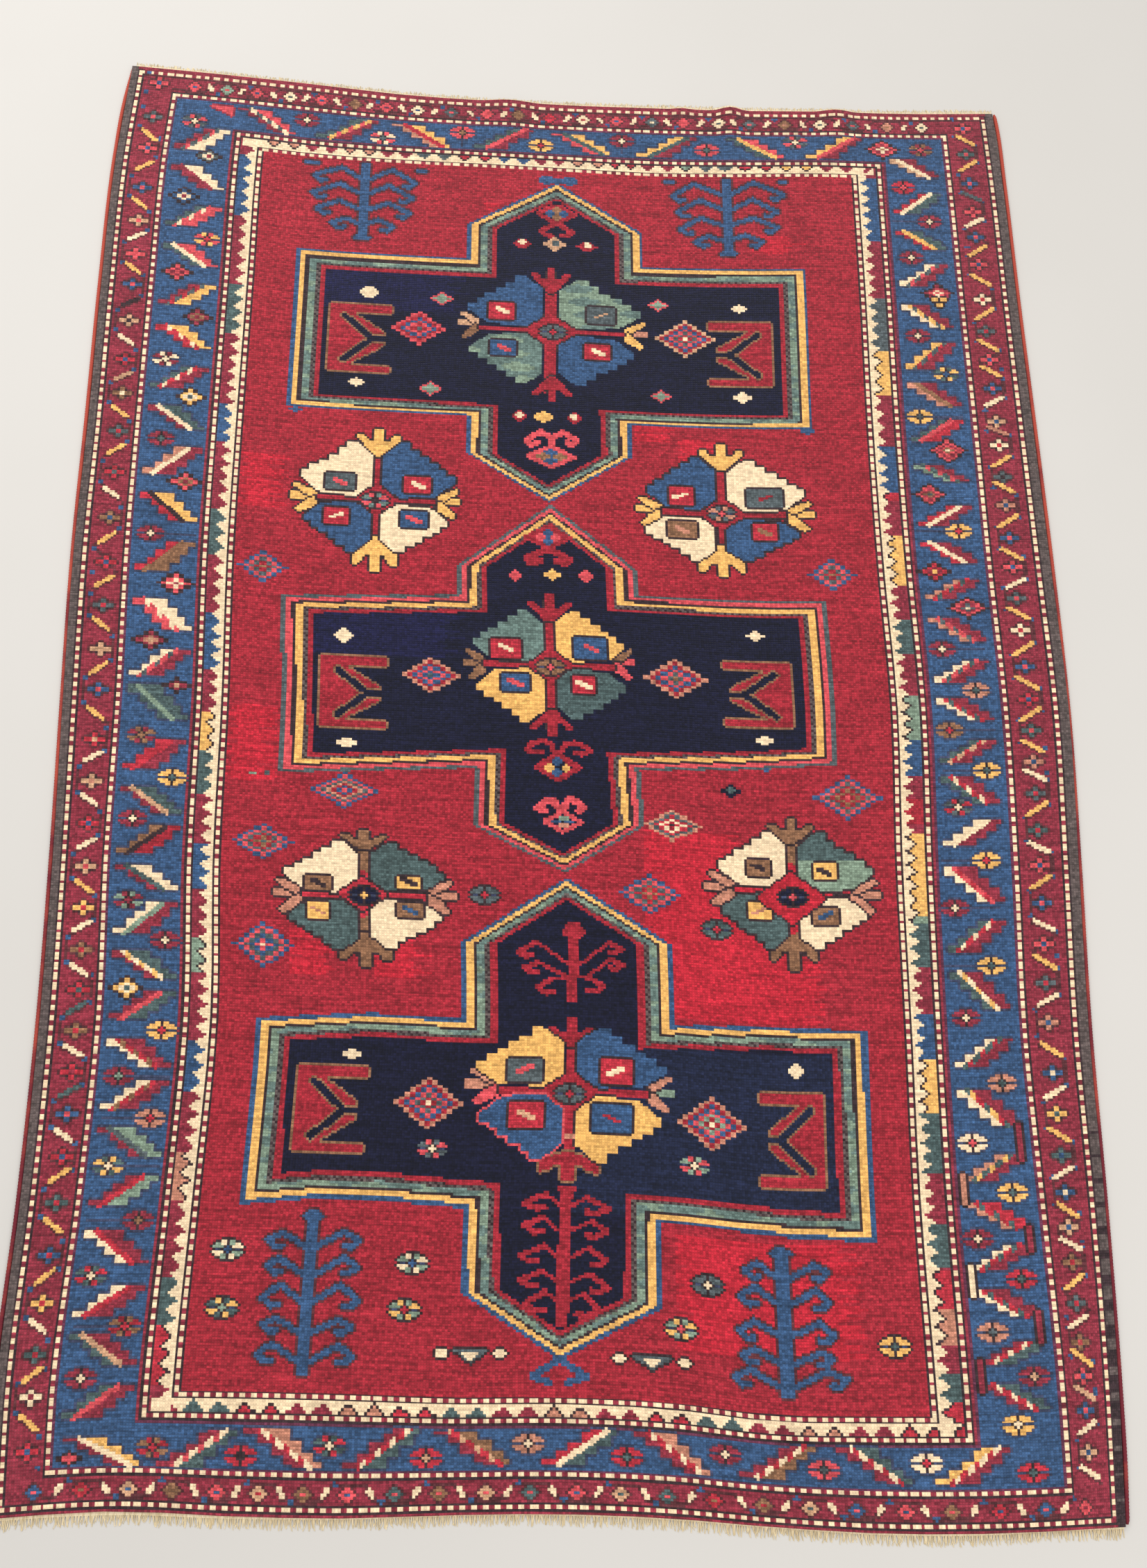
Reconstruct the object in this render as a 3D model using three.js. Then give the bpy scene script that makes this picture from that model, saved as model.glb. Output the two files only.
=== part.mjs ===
// A hand-knotted wool rug lying flat, in millimetres, +Z up. Its length runs along Y, its floor is
// z = 0 and its origin is on the floor under the middle of the whole outline, fringes included.
// The rug is one knotted cloth. A cord of overcast wool runs down each side, and each end has a
// narrow flat-woven band whose warp ends are the short fringe.
import * as THREE from 'three';

// Driving sizes
const RUG_THICKNESS = 6.5;
const CORD_WIDTH = 7;
const CORD_HEIGHT = 6;
const CORD_SIDES = 8;
const BAND_DEPTH = 5.5;
const BAND_THICKNESS = 3;
const STRANDS_PER_END = 125;
const STRAND_SHARE = 0.56;
const STRAND_TIP_SHARE = 0.6;
const STRAND_TIP_THICKNESS = 1.6;
const TOP_STRAND = { length: 9.5, spread: 2.5, lean: 1.5 };
const BOTTOM_STRAND = { length: 12.5, spread: 3.5, lean: 3.5 };
const CLEARANCE = 0.4;

// How far the hand-woven sides run out of straight: the outer faces of the two side cords
const SIDES = [
  { y: 1185, left: -796, right: 776 },
  { y: 1120, left: -805, right: 784 },
  { y: 1000, left: -812, right: 789 },
  { y: 750, left: -813, right: 796 },
  { y: 500, left: -810, right: 805 },
  { y: 250, left: -808, right: 813 },
  { y: 0, left: -799, right: 818 },
  { y: -250, left: -789, right: 813 },
  { y: -500, left: -782, right: 806 },
  { y: -750, left: -782, right: 806 },
  { y: -1000, left: -788, right: 803 },
  { y: -1100, left: -785, right: 800 },
  { y: -1180, left: -777, right: 795 },
];

// Where the pile stops at the two ends
const ENDS = [
  { x: -800, top: 1190, bottom: -1161 },
  { x: -700, top: 1183, bottom: -1154 },
  { x: -600, top: 1174, bottom: -1151 },
  { x: -450, top: 1160, bottom: -1156 },
  { x: -300, top: 1147, bottom: -1158 },
  { x: -150, top: 1139, bottom: -1154 },
  { x: 0, top: 1136, bottom: -1154 },
  { x: 150, top: 1136, bottom: -1160 },
  { x: 300, top: 1137, bottom: -1171 },
  { x: 450, top: 1140, bottom: -1180 },
  { x: 600, top: 1142, bottom: -1181 },
  { x: 700, top: 1146, bottom: -1176 },
  { x: 800, top: 1150, bottom: -1174 },
];

// Soft buckles that run in from the top end, each lying along Y and fading as it goes in
const BUCKLES = [
  { x: -112, rise: 5.5, halfWidth: 62, reach: 120 },
  { x: 200, rise: 3, halfWidth: 26, reach: 75 },
  { x: 288, rise: 9, halfWidth: 34, reach: 115 },
  { x: 482, rise: 6, halfWidth: 44, reach: 100 },
];

// The knotted cloth is divided finely only at its ends and where it buckles
const PLAIN_STEP = 115;
const END_STEP = 38;
const BUCKLE_STEP = 13;
const BUCKLED_STRETCH = { from: -190, to: 545 };
const BUCKLED_ROWS = [0.945, 0.958, 0.972, 0.986, 1];

// A smooth curve through one column of a table, read at any place along another column
function curveThrough(rows, along, column) {
  const points = [...rows].sort((a, b) => a[along] - b[along]);
  const slopes = points.map((point, i) => {
    const before = points[Math.max(i - 1, 0)];
    const after = points[Math.min(i + 1, points.length - 1)];
    return (after[column] - before[column]) / (after[along] - before[along]);
  });
  return (place) => {
    const last = points.length - 2;
    const found = points.findIndex((point) => point[along] > place) - 1;
    const i = found < 0 ? (place <= points[0][along] ? 0 : last) : found;
    const span = points[i + 1][along] - points[i][along];
    const t = (place - points[i][along]) / span;
    if (t < 0 || t > 1) {
      const end = t < 0 ? i : i + 1;
      return points[end][column] + slopes[end] * (place - points[end][along]);
    }
    const t2 = t * t;
    const t3 = t2 * t;
    return (2 * t3 - 3 * t2 + 1) * points[i][column]
      + (t3 - 2 * t2 + t) * span * slopes[i]
      + (3 * t2 - 2 * t3) * points[i + 1][column]
      + (t3 - t2) * span * slopes[i + 1];
  };
}

const leftAt = curveThrough(SIDES, 'y', 'left');
const rightAt = curveThrough(SIDES, 'y', 'right');
const topAt = curveThrough(ENDS, 'x', 'top');
const bottomAt = curveThrough(ENDS, 'x', 'bottom');

// A place on the rug from its share across (0 left, 1 right) and along (0 bottom, 1 top),
// with the sides drawn in by the width that the cords take
function placeOnRug(across, along, inset) {
  let x = THREE.MathUtils.lerp(-800, 800, across);
  let y = THREE.MathUtils.lerp(-1160, 1150, along);
  for (let pass = 0; pass < 6; pass += 1) {
    x = THREE.MathUtils.lerp(leftAt(y) + inset, rightAt(y) - inset, across);
    y = THREE.MathUtils.lerp(bottomAt(x), topAt(x), along);
  }
  return { x, y };
}

// How far the cloth is off the floor at a place
function liftAt(x, y) {
  const inwards = Math.max(topAt(x) - y, 0);
  let lift = 0;
  for (const buckle of BUCKLES) {
    const aside = Math.abs(x - buckle.x) / buckle.halfWidth;
    const inside = inwards / buckle.reach;
    if (aside < 1 && inside < 1) {
      const crown = 0.5 + 0.5 * Math.cos(Math.PI * aside);
      lift += buckle.rise * crown * (1 - inside) ** 1.5;
    }
  }
  return lift;
}

// Collects corners and triangles of one closed solid
class SolidShell {
  constructor() {
    this.corners = [];
    this.triangles = [];
  }

  corner(x, y, z) {
    this.corners.push(x, y, z);
    return this.corners.length / 3 - 1;
  }

  quad(a, b, c, d) {
    this.triangles.push(a, b, c, a, c, d);
  }

  geometry() {
    const geometry = new THREE.BufferGeometry();
    geometry.setAttribute('position', new THREE.Float32BufferAttribute(this.corners, 3));
    geometry.setIndex(this.triangles);
    geometry.computeVertexNormals();
    return geometry;
  }
}

// Shares along the rug at which the cloth and its side cords have a row of corners
function sharesAlong() {
  const plainRows = Math.round((topAt(0) - bottomAt(0)) / PLAIN_STEP);
  const shares = [];
  for (let r = 0; r < plainRows; r += 1) {
    shares.push((r / plainRows) * BUCKLED_ROWS[0]);
  }
  return [...shares, ...BUCKLED_ROWS];
}

// Shares across the rug at which a row of the cloth has corners
function sharesAcross(along) {
  const middle = placeOnRug(0, 0.5, 0).x;
  const width = placeOnRug(1, 0.5, 0).x - middle;
  const isBuckled = along > BUCKLED_ROWS[0];
  const plainStep = along === 0 || along === 1 ? END_STEP : PLAIN_STEP;
  const stretches = isBuckled
    ? [
      { from: middle, to: BUCKLED_STRETCH.from, step: plainStep },
      { ...BUCKLED_STRETCH, step: BUCKLE_STEP },
      { from: BUCKLED_STRETCH.to, to: middle + width, step: plainStep },
    ]
    : [{ from: middle, to: middle + width, step: plainStep }];
  const shares = [];
  for (const { from, to, step } of stretches) {
    const count = Math.round((to - from) / step);
    for (let i = 0; i < count; i += 1) {
      shares.push((from + ((to - from) * i) / count - middle) / width);
    }
  }
  return [...shares, 1];
}

// Fills the strip between two rows of corners that may be divided differently
function joinRows(shell, lower, upper, faceUp) {
  let i = 0;
  let j = 0;
  while (i < lower.length - 1 || j < upper.length - 1) {
    const nextLower = i < lower.length - 1 ? lower[i + 1].share : 2;
    const nextUpper = j < upper.length - 1 ? upper[j + 1].share : 2;
    const triangle = nextLower <= nextUpper
      ? [lower[i].corner, lower[i + 1].corner, upper[j].corner]
      : [lower[i].corner, upper[j + 1].corner, upper[j].corner];
    if (nextLower <= nextUpper) {
      i += 1;
    } else {
      j += 1;
    }
    shell.triangles.push(...(faceUp ? triangle : triangle.reverse()));
  }
}

// The knotted cloth: pile and foundation in one thickness, flat below except under the buckles
function knottedRug() {
  const shell = new SolidShell();
  const inset = CORD_WIDTH + CLEARANCE;
  const rows = sharesAlong().map((along) => {
    const row = { top: [], bottom: [] };
    for (const share of sharesAcross(along)) {
      const { x, y } = placeOnRug(share, along, inset);
      const lift = along > BUCKLED_ROWS[0] ? liftAt(x, y) : 0;
      row.top.push({ share, corner: shell.corner(x, y, RUG_THICKNESS + lift) });
      row.bottom.push({ share, corner: shell.corner(x, y, lift) });
    }
    return row;
  });
  for (let r = 0; r < rows.length - 1; r += 1) {
    const row = rows[r];
    const next = rows[r + 1];
    joinRows(shell, row.top, next.top, true);
    joinRows(shell, row.bottom, next.bottom, false);
    shell.quad(row.top[0].corner, next.top[0].corner, next.bottom[0].corner, row.bottom[0].corner);
    const [top, bottom] = [row.top.at(-1), row.bottom.at(-1)];
    const [nextTop, nextBottom] = [next.top.at(-1), next.bottom.at(-1)];
    shell.quad(top.corner, bottom.corner, nextBottom.corner, nextTop.corner);
  }
  const first = rows[0];
  const last = rows.at(-1);
  for (let i = 0; i < first.top.length - 1; i += 1) {
    shell.quad(first.bottom[i].corner, first.bottom[i + 1].corner, first.top[i + 1].corner, first.top[i].corner);
  }
  for (let i = 0; i < last.top.length - 1; i += 1) {
    shell.quad(last.bottom[i + 1].corner, last.bottom[i].corner, last.top[i].corner, last.top[i + 1].corner);
  }
  return shell.geometry();
}

// A side cord: a rounded cord of overcast wool that follows the rug's edge. side is -1 or 1.
function sideCord(side) {
  const shell = new SolidShell();
  const middle = CORD_WIDTH / 2;
  const rings = [];
  for (const along of sharesAlong()) {
    const { x, y } = placeOnRug(side < 0 ? 0 : 1, along, middle);
    const ring = [];
    for (let k = 0; k < CORD_SIDES; k += 1) {
      const angle = ((k + 0.5) / CORD_SIDES) * Math.PI * 2;
      const widen = 1 / Math.cos(Math.PI / CORD_SIDES);
      const out = Math.cos(angle) * middle * widen;
      const up = Math.sin(angle) * (CORD_HEIGHT / 2) * widen;
      ring.push(shell.corner(x + out, y, CORD_HEIGHT / 2 + up));
    }
    rings.push(ring);
  }
  for (let s = 0; s < rings.length - 1; s += 1) {
    for (let k = 0; k < CORD_SIDES; k += 1) {
      const n = (k + 1) % CORD_SIDES;
      shell.quad(rings[s][k], rings[s + 1][k], rings[s + 1][n], rings[s][n]);
    }
  }
  for (let k = 1; k < CORD_SIDES - 1; k += 1) {
    shell.triangles.push(rings[0][0], rings[0][k], rings[0][k + 1]);
    const end = rings.at(-1);
    shell.triangles.push(end[0], end[k + 1], end[k]);
  }
  return shell.geometry();
}

// A strand's own share of the spread, between -1 and 1, different for each but always the same
function unevenness(index, seed) {
  return Math.sin(index * 12.9898 + seed * 4.1414) * Math.cos(index * 7.233 + seed);
}

// An end band with its fringe. end is 1 at the top and -1 at the bottom. Stations run along the band
// in pairs, and a strand grows from the stretch between the two stations of each pair.
function fringedBand(end, strand) {
  const shell = new SolidShell();
  const edgeAt = end > 0 ? topAt : bottomAt;
  const start = placeOnRug(0, end > 0 ? 1 : 0, CORD_WIDTH + CLEARANCE).x;
  const stop = placeOnRug(1, end > 0 ? 1 : 0, CORD_WIDTH + CLEARANCE).x;
  const pitch = (stop - start) / (STRANDS_PER_END - 1 + STRAND_SHARE);
  const corners = (x, y, thickness, settle) => {
    const lift = end > 0 ? liftAt(x, edgeAt(x)) * settle : 0;
    return { over: shell.corner(x, y, thickness + lift), under: shell.corner(x, y, lift) };
  };
  const stations = [];
  for (let i = 0; i < STRANDS_PER_END; i += 1) {
    for (const within of [0, STRAND_SHARE]) {
      const x = start + (i + within) * pitch;
      const y = edgeAt(x) + end * CLEARANCE;
      const length = strand.length + strand.spread * unevenness(i, end);
      const lean = strand.lean * (0.4 + unevenness(i, end + 5));
      const narrow = (within - STRAND_SHARE / 2) * pitch * STRAND_TIP_SHARE;
      const middle = start + (i + STRAND_SHARE / 2) * pitch;
      stations.push({
        inner: corners(x, y, BAND_THICKNESS, 1),
        outer: corners(x, y + end * BAND_DEPTH, BAND_THICKNESS, 1),
        tip: corners(
          middle + narrow + lean,
          edgeAt(middle) + end * (CLEARANCE + BAND_DEPTH + length),
          STRAND_TIP_THICKNESS,
          0.6,
        ),
      });
    }
  }
  const face = end > 0
    ? (a, b, c, d) => shell.quad(a, b, c, d)
    : (a, b, c, d) => shell.quad(d, c, b, a);
  stations.slice(0, -1).forEach((here, i) => {
    const next = stations[i + 1];
    face(here.inner.over, next.inner.over, next.outer.over, here.outer.over);
    face(here.inner.under, here.outer.under, next.outer.under, next.inner.under);
    face(here.inner.under, next.inner.under, next.inner.over, here.inner.over);
    if (i % 2 === 0) {
      face(here.outer.over, next.outer.over, next.tip.over, here.tip.over);
      face(here.outer.under, here.tip.under, next.tip.under, next.outer.under);
      face(here.outer.over, here.tip.over, here.tip.under, here.outer.under);
      face(next.outer.over, next.outer.under, next.tip.under, next.tip.over);
      face(here.tip.over, next.tip.over, next.tip.under, here.tip.under);
    } else {
      face(here.outer.over, next.outer.over, next.outer.under, here.outer.under);
    }
  });
  const first = stations[0];
  const last = stations.at(-1);
  face(first.inner.over, first.outer.over, first.outer.under, first.inner.under);
  face(last.inner.over, last.inner.under, last.outer.under, last.outer.over);
  return shell.geometry();
}

function piece(name, geometry, material) {
  const mesh = new THREE.Mesh(geometry, material);
  mesh.name = name;
  return mesh;
}

const knottedWool = new THREE.MeshStandardMaterial({ color: '#8f2a33', roughness: 0.95, metalness: 0 });
const overcastWool = new THREE.MeshStandardMaterial({ color: '#b8473b', roughness: 0.9, metalness: 0 });
const warpWool = new THREE.MeshStandardMaterial({ color: '#d8c39c', roughness: 0.9, metalness: 0 });

const rug = new THREE.Group();
rug.add(piece('rug', knottedRug(), knottedWool));
rug.add(piece('side_cord_left', sideCord(-1), overcastWool));
rug.add(piece('side_cord_right', sideCord(1), overcastWool));
rug.add(piece('fringe_top', fringedBand(1, TOP_STRAND), warpWool));
rug.add(piece('fringe_bottom', fringedBand(-1, BOTTOM_STRAND), warpWool));

// The tables measure from a point near the middle, so everything is moved to the outline's own middle
const outline = new THREE.Box3().setFromObject(rug);
const centre = outline.getCenter(new THREE.Vector3());
for (const mesh of rug.children) {
  mesh.geometry.translate(-centre.x, -centre.y, -outline.min.z);
}

export default rug;
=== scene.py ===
import math

import bmesh
import bpy
import numpy as np
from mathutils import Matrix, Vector


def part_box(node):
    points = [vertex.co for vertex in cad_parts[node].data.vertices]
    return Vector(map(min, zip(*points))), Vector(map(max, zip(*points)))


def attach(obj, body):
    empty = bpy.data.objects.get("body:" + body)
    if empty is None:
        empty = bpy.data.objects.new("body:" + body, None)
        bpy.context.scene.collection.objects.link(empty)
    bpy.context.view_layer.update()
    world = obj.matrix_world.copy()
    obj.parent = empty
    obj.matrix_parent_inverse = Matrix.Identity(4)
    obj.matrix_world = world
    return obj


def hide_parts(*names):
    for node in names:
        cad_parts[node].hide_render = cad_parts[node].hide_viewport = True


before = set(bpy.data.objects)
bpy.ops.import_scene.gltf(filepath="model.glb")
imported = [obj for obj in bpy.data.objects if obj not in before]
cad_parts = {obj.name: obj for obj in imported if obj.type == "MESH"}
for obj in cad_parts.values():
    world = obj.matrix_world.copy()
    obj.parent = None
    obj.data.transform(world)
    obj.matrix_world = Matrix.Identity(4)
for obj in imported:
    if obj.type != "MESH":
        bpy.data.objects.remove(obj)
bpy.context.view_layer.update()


# ---------------------------------------------------------------------------
# The view: a camera on a stand over the rug's foot end, a little left of its
# middle, looking almost straight down, as the photograph was taken.

camera_data = bpy.data.cameras.new("camera")
camera_data.sensor_fit = "VERTICAL"
camera_data.sensor_height = 36
camera_data.lens = 27.09
camera_data.clip_start = 0.05
camera = bpy.data.objects.new("camera", camera_data)
camera.location = (-0.04883, -0.55139, 1.81073)
camera.rotation_euler = (0.229520927, -0.0343080685, 0.00746260956)
bpy.context.scene.collection.objects.link(camera)
bpy.context.scene.camera = camera


# ---------------------------------------------------------------------------
# The floor: a smooth pale studio floor of matt painted board that the rug
# lies flat on. It is stage, not part of the rug.

FLOOR_SIZE = 7.0


def linear(hex_colour):
    """An sRGB hex colour as the linear colour that the shaders take."""
    channels = [int(hex_colour[i : i + 2], 16) / 255 for i in (0, 2, 4)]
    bent = [c / 12.92 if c <= 0.04045 else ((c + 0.055) / 1.055) ** 2.4 for c in channels]
    return (*bent, 1)


def add_node(tree, kind, settings=None, inputs=None, **links):
    """Adds a shader node: settings on it, values and then links on its sockets."""
    node = tree.nodes.new(kind)
    for name, value in (settings or {}).items():
        setattr(node, name, value)
    for key, value in (inputs or {}).items():
        if isinstance(value, bpy.types.NodeSocket):
            tree.links.new(value, node.inputs[key])
        else:
            node.inputs[key].default_value = value
    for key, socket in links.items():
        tree.links.new(socket, node.inputs[key])
    return node


def new_material(name):
    """An empty node material and its surface shader, joined to the output."""
    material = bpy.data.materials.new(name)
    material.use_nodes = True
    tree = material.node_tree
    tree.nodes.clear()
    shader = add_node(tree, "ShaderNodeBsdfPrincipled")
    add_node(tree, "ShaderNodeOutputMaterial", Surface=shader.outputs["BSDF"])
    return material, tree, shader


def noise(tree, scale, detail, roughness, place):
    """A cloudy grey noise over a map of places."""
    return add_node(
        tree, "ShaderNodeTexNoise",
        inputs={"Scale": scale, "Detail": detail, "Roughness": roughness}, Vector=place,
    ).outputs[0]


def finish_surface(tree, shader, colour, roughness, specular, relief=None):
    """Gives a surface its colour and how matt it is and, where it has a relief, the
    strength, depth in metres and height map of that."""
    tree.links.new(colour, shader.inputs["Base Color"])
    shader.inputs["Roughness"].default_value = roughness
    shader.inputs["Specular IOR Level"].default_value = specular
    if relief:
        strength, depth, height = relief
        bump = add_node(
            tree, "ShaderNodeBump", inputs={"Strength": strength, "Distance": depth}, Height=height
        )
        tree.links.new(bump.outputs[0], shader.inputs["Normal"])


def finished(bm, name):
    """A new mesh that holds a bmesh, which is freed."""
    mesh = bpy.data.meshes.new(name)
    bm.to_mesh(mesh)
    bm.free()
    return mesh


def new_piece(name, mesh):
    """An object at the origin that holds a finished mesh."""
    piece = bpy.data.objects.new(name, mesh)
    bpy.context.scene.collection.objects.link(piece)
    return piece


floor_bm = bmesh.new()
bmesh.ops.create_grid(floor_bm, x_segments=2, y_segments=2, size=FLOOR_SIZE / 2)
floor = new_piece("studio_floor", finished(floor_bm, "studio_floor"))
floor_paint, tree, shader = new_material("matt floor paint")
# Matt emulsion on board: no gloss, hardly a cloud in its tone.
place = add_node(tree, "ShaderNodeTexCoord")
clouds = noise(tree, 1.4, 3, 0.6, place.outputs["Object"])
tone = add_node(
    tree, "ShaderNodeMix", {"data_type": "RGBA"},
    {0: clouds, 6: linear("C8C5C0"), 7: linear("CFCCC8")},
)
finish_surface(tree, shader, tone.outputs[2], 0.9, 0.2)
floor.data.materials.append(floor_paint)


# ---------------------------------------------------------------------------
# The light: two broad soft boxes high over the rug's head and foot and an
# even pale surround, so that no knot throws a hard shadow.

SOFT_BOXES = (
    ((-1.9, 2.3, 3.1), 2.4, 92),
    ((2.0, -1.6, 3.3), 2.4, 56),
)

for number, (where, width, power) in enumerate(SOFT_BOXES, 1):
    box_data = bpy.data.lights.new(f"soft_box_{number}", "AREA")
    box_data.shape = "SQUARE"
    box_data.size = width
    box_data.energy = power
    soft_box = bpy.data.objects.new(f"soft_box_{number}", box_data)
    soft_box.location = where
    soft_box.rotation_euler = (-Vector(where)).to_track_quat("-Z", "Y").to_euler()
    bpy.context.scene.collection.objects.link(soft_box)

surround = bpy.data.worlds.new("surround")
surround.use_nodes = True
surround.node_tree.nodes["Background"].inputs["Color"].default_value = linear("F1EFEC")
surround.node_tree.nodes["Background"].inputs["Strength"].default_value = 0.87
bpy.context.scene.world = surround
bpy.context.scene.view_settings.view_transform = "Standard"


# ---------------------------------------------------------------------------
# The knotted cloth: a Kazak village rug of hand-spun wool, knotted row by row
# on undyed warps, 396 knots wide and 628 rows long. The weaver worked from
# memory in some twenty dyes; the chart below ties the same field, medallions
# and borders, one dye letter for each knot.

COLUMNS, ROWS = 396, 628
KNOT_LEAN = 0.906  # a row is lower than a column is wide

DYES = {
    "M": ("madder red", "9B2431"),
    "s": ("scarlet", "B22C3A"),
    "c": ("coral", "CF4C53"),
    "w": ("wine red", "882C3B"),
    "n": ("navy", "11132A"),
    "i": ("indigo", "161739"),
    "b": ("indigo blue", "345176"),
    "v": ("undyed ivory", "EDD2AC"),
    "y": ("weld yellow", "E7B063"),
    "g": ("light green", "7B8E7B"),
    "e": ("sea green", "617670"),
    "r": ("bright madder", "B72333"),
    "d": ("dark blue", "192039"),
    "t": ("teal", "485A5A"),
    "l": ("slate", "4E575A"),
    "k": ("dark brown", "35262A"),
    "o": ("olive brown", "876046"),
    "a": ("apricot", "BD7F68"),
    "u": ("tan", "C89A78"),
    "p": ("plum", "602E44"),
    "h": ("charcoal brown", "5A4E4C"),
    "x": ("shaded blue", "39405A"),  # one dark knot, half hidden by the blue round it
    "q": ("shaded wine", "582A2F"),  # one dark knot, half hidden by the wine round it
}
LETTERS = "".join(DYES)


def entries(text):
    """A list written in words, an entry up to each comma; figures become numbers."""
    return [
        [float(word) if word[-1].isdigit() else word for word in entry.split()]
        for entry in text.split(",")
    ]


# The loom was never quite even: where each column and row of the chart lies,
# in even knot widths. A column of beads is wider than its neighbours.
COLUMN_PLACES = """0 0, 3 2.9, 4 3.5, 5 5, 6 5.9, 19 19.1, 20 19.9, 21 21.4, 22 22.3, 50 50.2,
51 51.3, 52 52.8, 53 53.5, 54 54.2, 61 60.9, 62 61.7, 63 63.2, 64 64, 323 323, 324 324,
325 324.8, 326 326.3, 327 327.1, 336 335.8, 337 336.7, 338 338.3, 339 339, 369 369.4, 370 370.5,
371 372.1, 372 372.9, 388 388.4, 390 390.1, 391 391.7, 392 392.4, 396 396"""
ROW_PLACES = """0 0, 2 1.8, 3 3.3, 4 4, 13 13.1, 14 14.6, 15 15.3, 32 31.9, 33 33.4, 34 34,
38 38.6, 39 39.1, 40 40.6, 41 41, 588 588, 589 589.1, 590 590.6, 591 591, 596 596, 597 597.5,
598 598, 614 613.8, 615 615.2, 616 616, 624 624.5, 625 626, 626 626.5, 628 628"""
column_edge = np.interp(np.arange(COLUMNS + 1), *zip(*entries(COLUMN_PLACES)))
row_edge = np.interp(np.arange(ROWS + 1), *zip(*entries(ROW_PLACES)))
column_at, row_at = np.meshgrid(
    (column_edge[:-1] + column_edge[1:]) / 2, (row_edge[:-1] + row_edge[1:]) / 2
)
chart = np.full((ROWS, COLUMNS), LETTERS.index("M"), np.int8)


def grown(where):
    """The knots of a shape and the ones beside, above and below them."""
    more = where.copy()
    more[1:] |= where[:-1]
    more[:-1] |= where[1:]
    more[:, 1:] |= where[:, :-1]
    more[:, :-1] |= where[:, 1:]
    return more


def rim(where, dye):
    """Ties a line round a shape; a dark one is left out on a navy ground."""
    line = grown(where) & ~where
    if dye == "k":
        line &= chart != LETTERS.index("n")
    chart[line] = LETTERS.index(dye)


def tie(dye, where, edge=None):
    """Ties a shape in one dye, with a line of another round it."""
    if edge:
        rim(where, edge)
    chart[where] = LETTERS.index(dye)


def window(columns, rows, margin=0):
    """The part of the chart round some columns and rows, as two slices."""
    r0, r1 = np.searchsorted(row_at[:, 0], (min(rows) - margin, max(rows) + margin))
    c0, c1 = np.searchsorted(column_at[0], (min(columns) - margin, max(columns) + margin))
    return slice(max(r0 - 1, 0), r1 + 1), slice(max(c0 - 1, 0), c1 + 1)


def inside(points):
    """The knots inside a closed outline of (column, row) points."""
    where = np.zeros(chart.shape, bool)
    part = window(*zip(*points))
    c, r = column_at[part], row_at[part]
    for (c0, r0), (c1, r1) in zip(points, [*points[1:], points[0]]):
        if r0 != r1:
            level = (r > min(r0, r1)) & (r <= max(r0, r1))
            where[part] ^= level & (c < c0 + (r - r0) * (c1 - c0) / (r1 - r0))
    return where


def distance(points, row_weight=KNOT_LEAN, reach=400):
    """How far each knot lies from a line of points, in knot widths."""
    nearest = np.full(chart.shape, 1e3)
    for (c0, r0), (c1, r1) in zip(points, points[1:]):
        part = window((c0, c1), (r0, r1), reach)
        along = np.array([c1 - c0, (r1 - r0) * row_weight])
        dc, dr = column_at[part] - c0, (row_at[part] - r0) * row_weight
        share = np.clip((dc * along[0] + dr * along[1]) / max(along @ along, 1e-9), 0, 1)
        away = np.hypot(dc - share * along[0], dr - share * along[1])
        nearest[part] = np.minimum(nearest[part], away)
    return nearest


def stroke(points, width):
    return distance(points, reach=width) < width / 2


def span(c0, c1, r0, r1):
    return (column_at > c0) & (column_at < c1) & (row_at > r0) & (row_at < r1)


def diamond(column, row, width, height, step=1):
    """A diamond of knots, its sides in steps of so many knots."""
    dc = (np.floor(np.abs(column_at - column) / step) + 0.5) * step
    dr = (np.floor(np.abs(row_at - row) / step) + 0.5) * step
    return dc / (width / 2) + dr / (height / 2) < 1


def oval(column, row, width, height):
    return np.hypot((column_at - column) * 2 / width, (row_at - row) * 2 / height) < 1


def lozenge(column, row, width, height, dyes):
    """A lozenge of small square blocks, ring in ring, the outermost dye first."""
    rings_out = np.round(np.abs(column_at - column) * (2 * len(dyes) - 1) / width) + np.round(
        np.abs(row_at - row) * (2 * len(dyes) - 1) / height
    )
    for number, dye in enumerate(dyes):
        tie(dye, rings_out == len(dyes) - 1 - number)


def paste(motif, column, row, edge="k", **dyes):
    """Ties a small repeat from a chart of rows; a dot leaves the ground as it is."""
    rows = motif.split()
    lower = int(round(np.interp(row, row_edge, np.arange(ROWS + 1)) - len(rows) / 2))
    left = int(round(np.interp(column, column_edge, np.arange(COLUMNS + 1)) - len(rows[0]) / 2))
    where = np.zeros(chart.shape, bool)
    for up, line in enumerate(reversed(rows)):
        for right, key in enumerate(line):
            where[lower + up, left + right] = key != "."
    rim(where, edge)
    for up, line in enumerate(reversed(rows)):
        for right, key in enumerate(line):
            if key != ".":
                chart[lower + up, left + right] = LETTERS.index(dyes.get(key, key))


# Borders, from the selvedge in: charcoal side stripe, beads, wine guard with
# small flowers, beads, blue main border, beads, ivory saw teeth, beads. Each:
# its outer limits left, right, bottom and top, and the dye of what lies inside.
RINGS = """0 396 0 628 h, 2.9 392.4 -1 629 k, 5 390.1 -1 629 k, 5.9 389 0 628 w,
19.1 372.9 12.2 616 k, 21.4 370.5 14.6 613.8 p, 22.3 369.4 15.3 612.8 b, 48.9 341 30 598.8 p,
49.7 340.2 31 598 w, 50.2 339 31 598 k, 52.8 336.7 33.4 596 k, 53.5 335.8 34 595.3 w"""
for left, right, bottom, top, dye in entries(RINGS):
    tie(dye, span(left, right, bottom, top))
tie("k", span(5.9, 389, -1, 1.8) | span(5.9, 389, 3.3, 4))
tie("q", span(5.9, 389, 623.5, 624.5))
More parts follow.
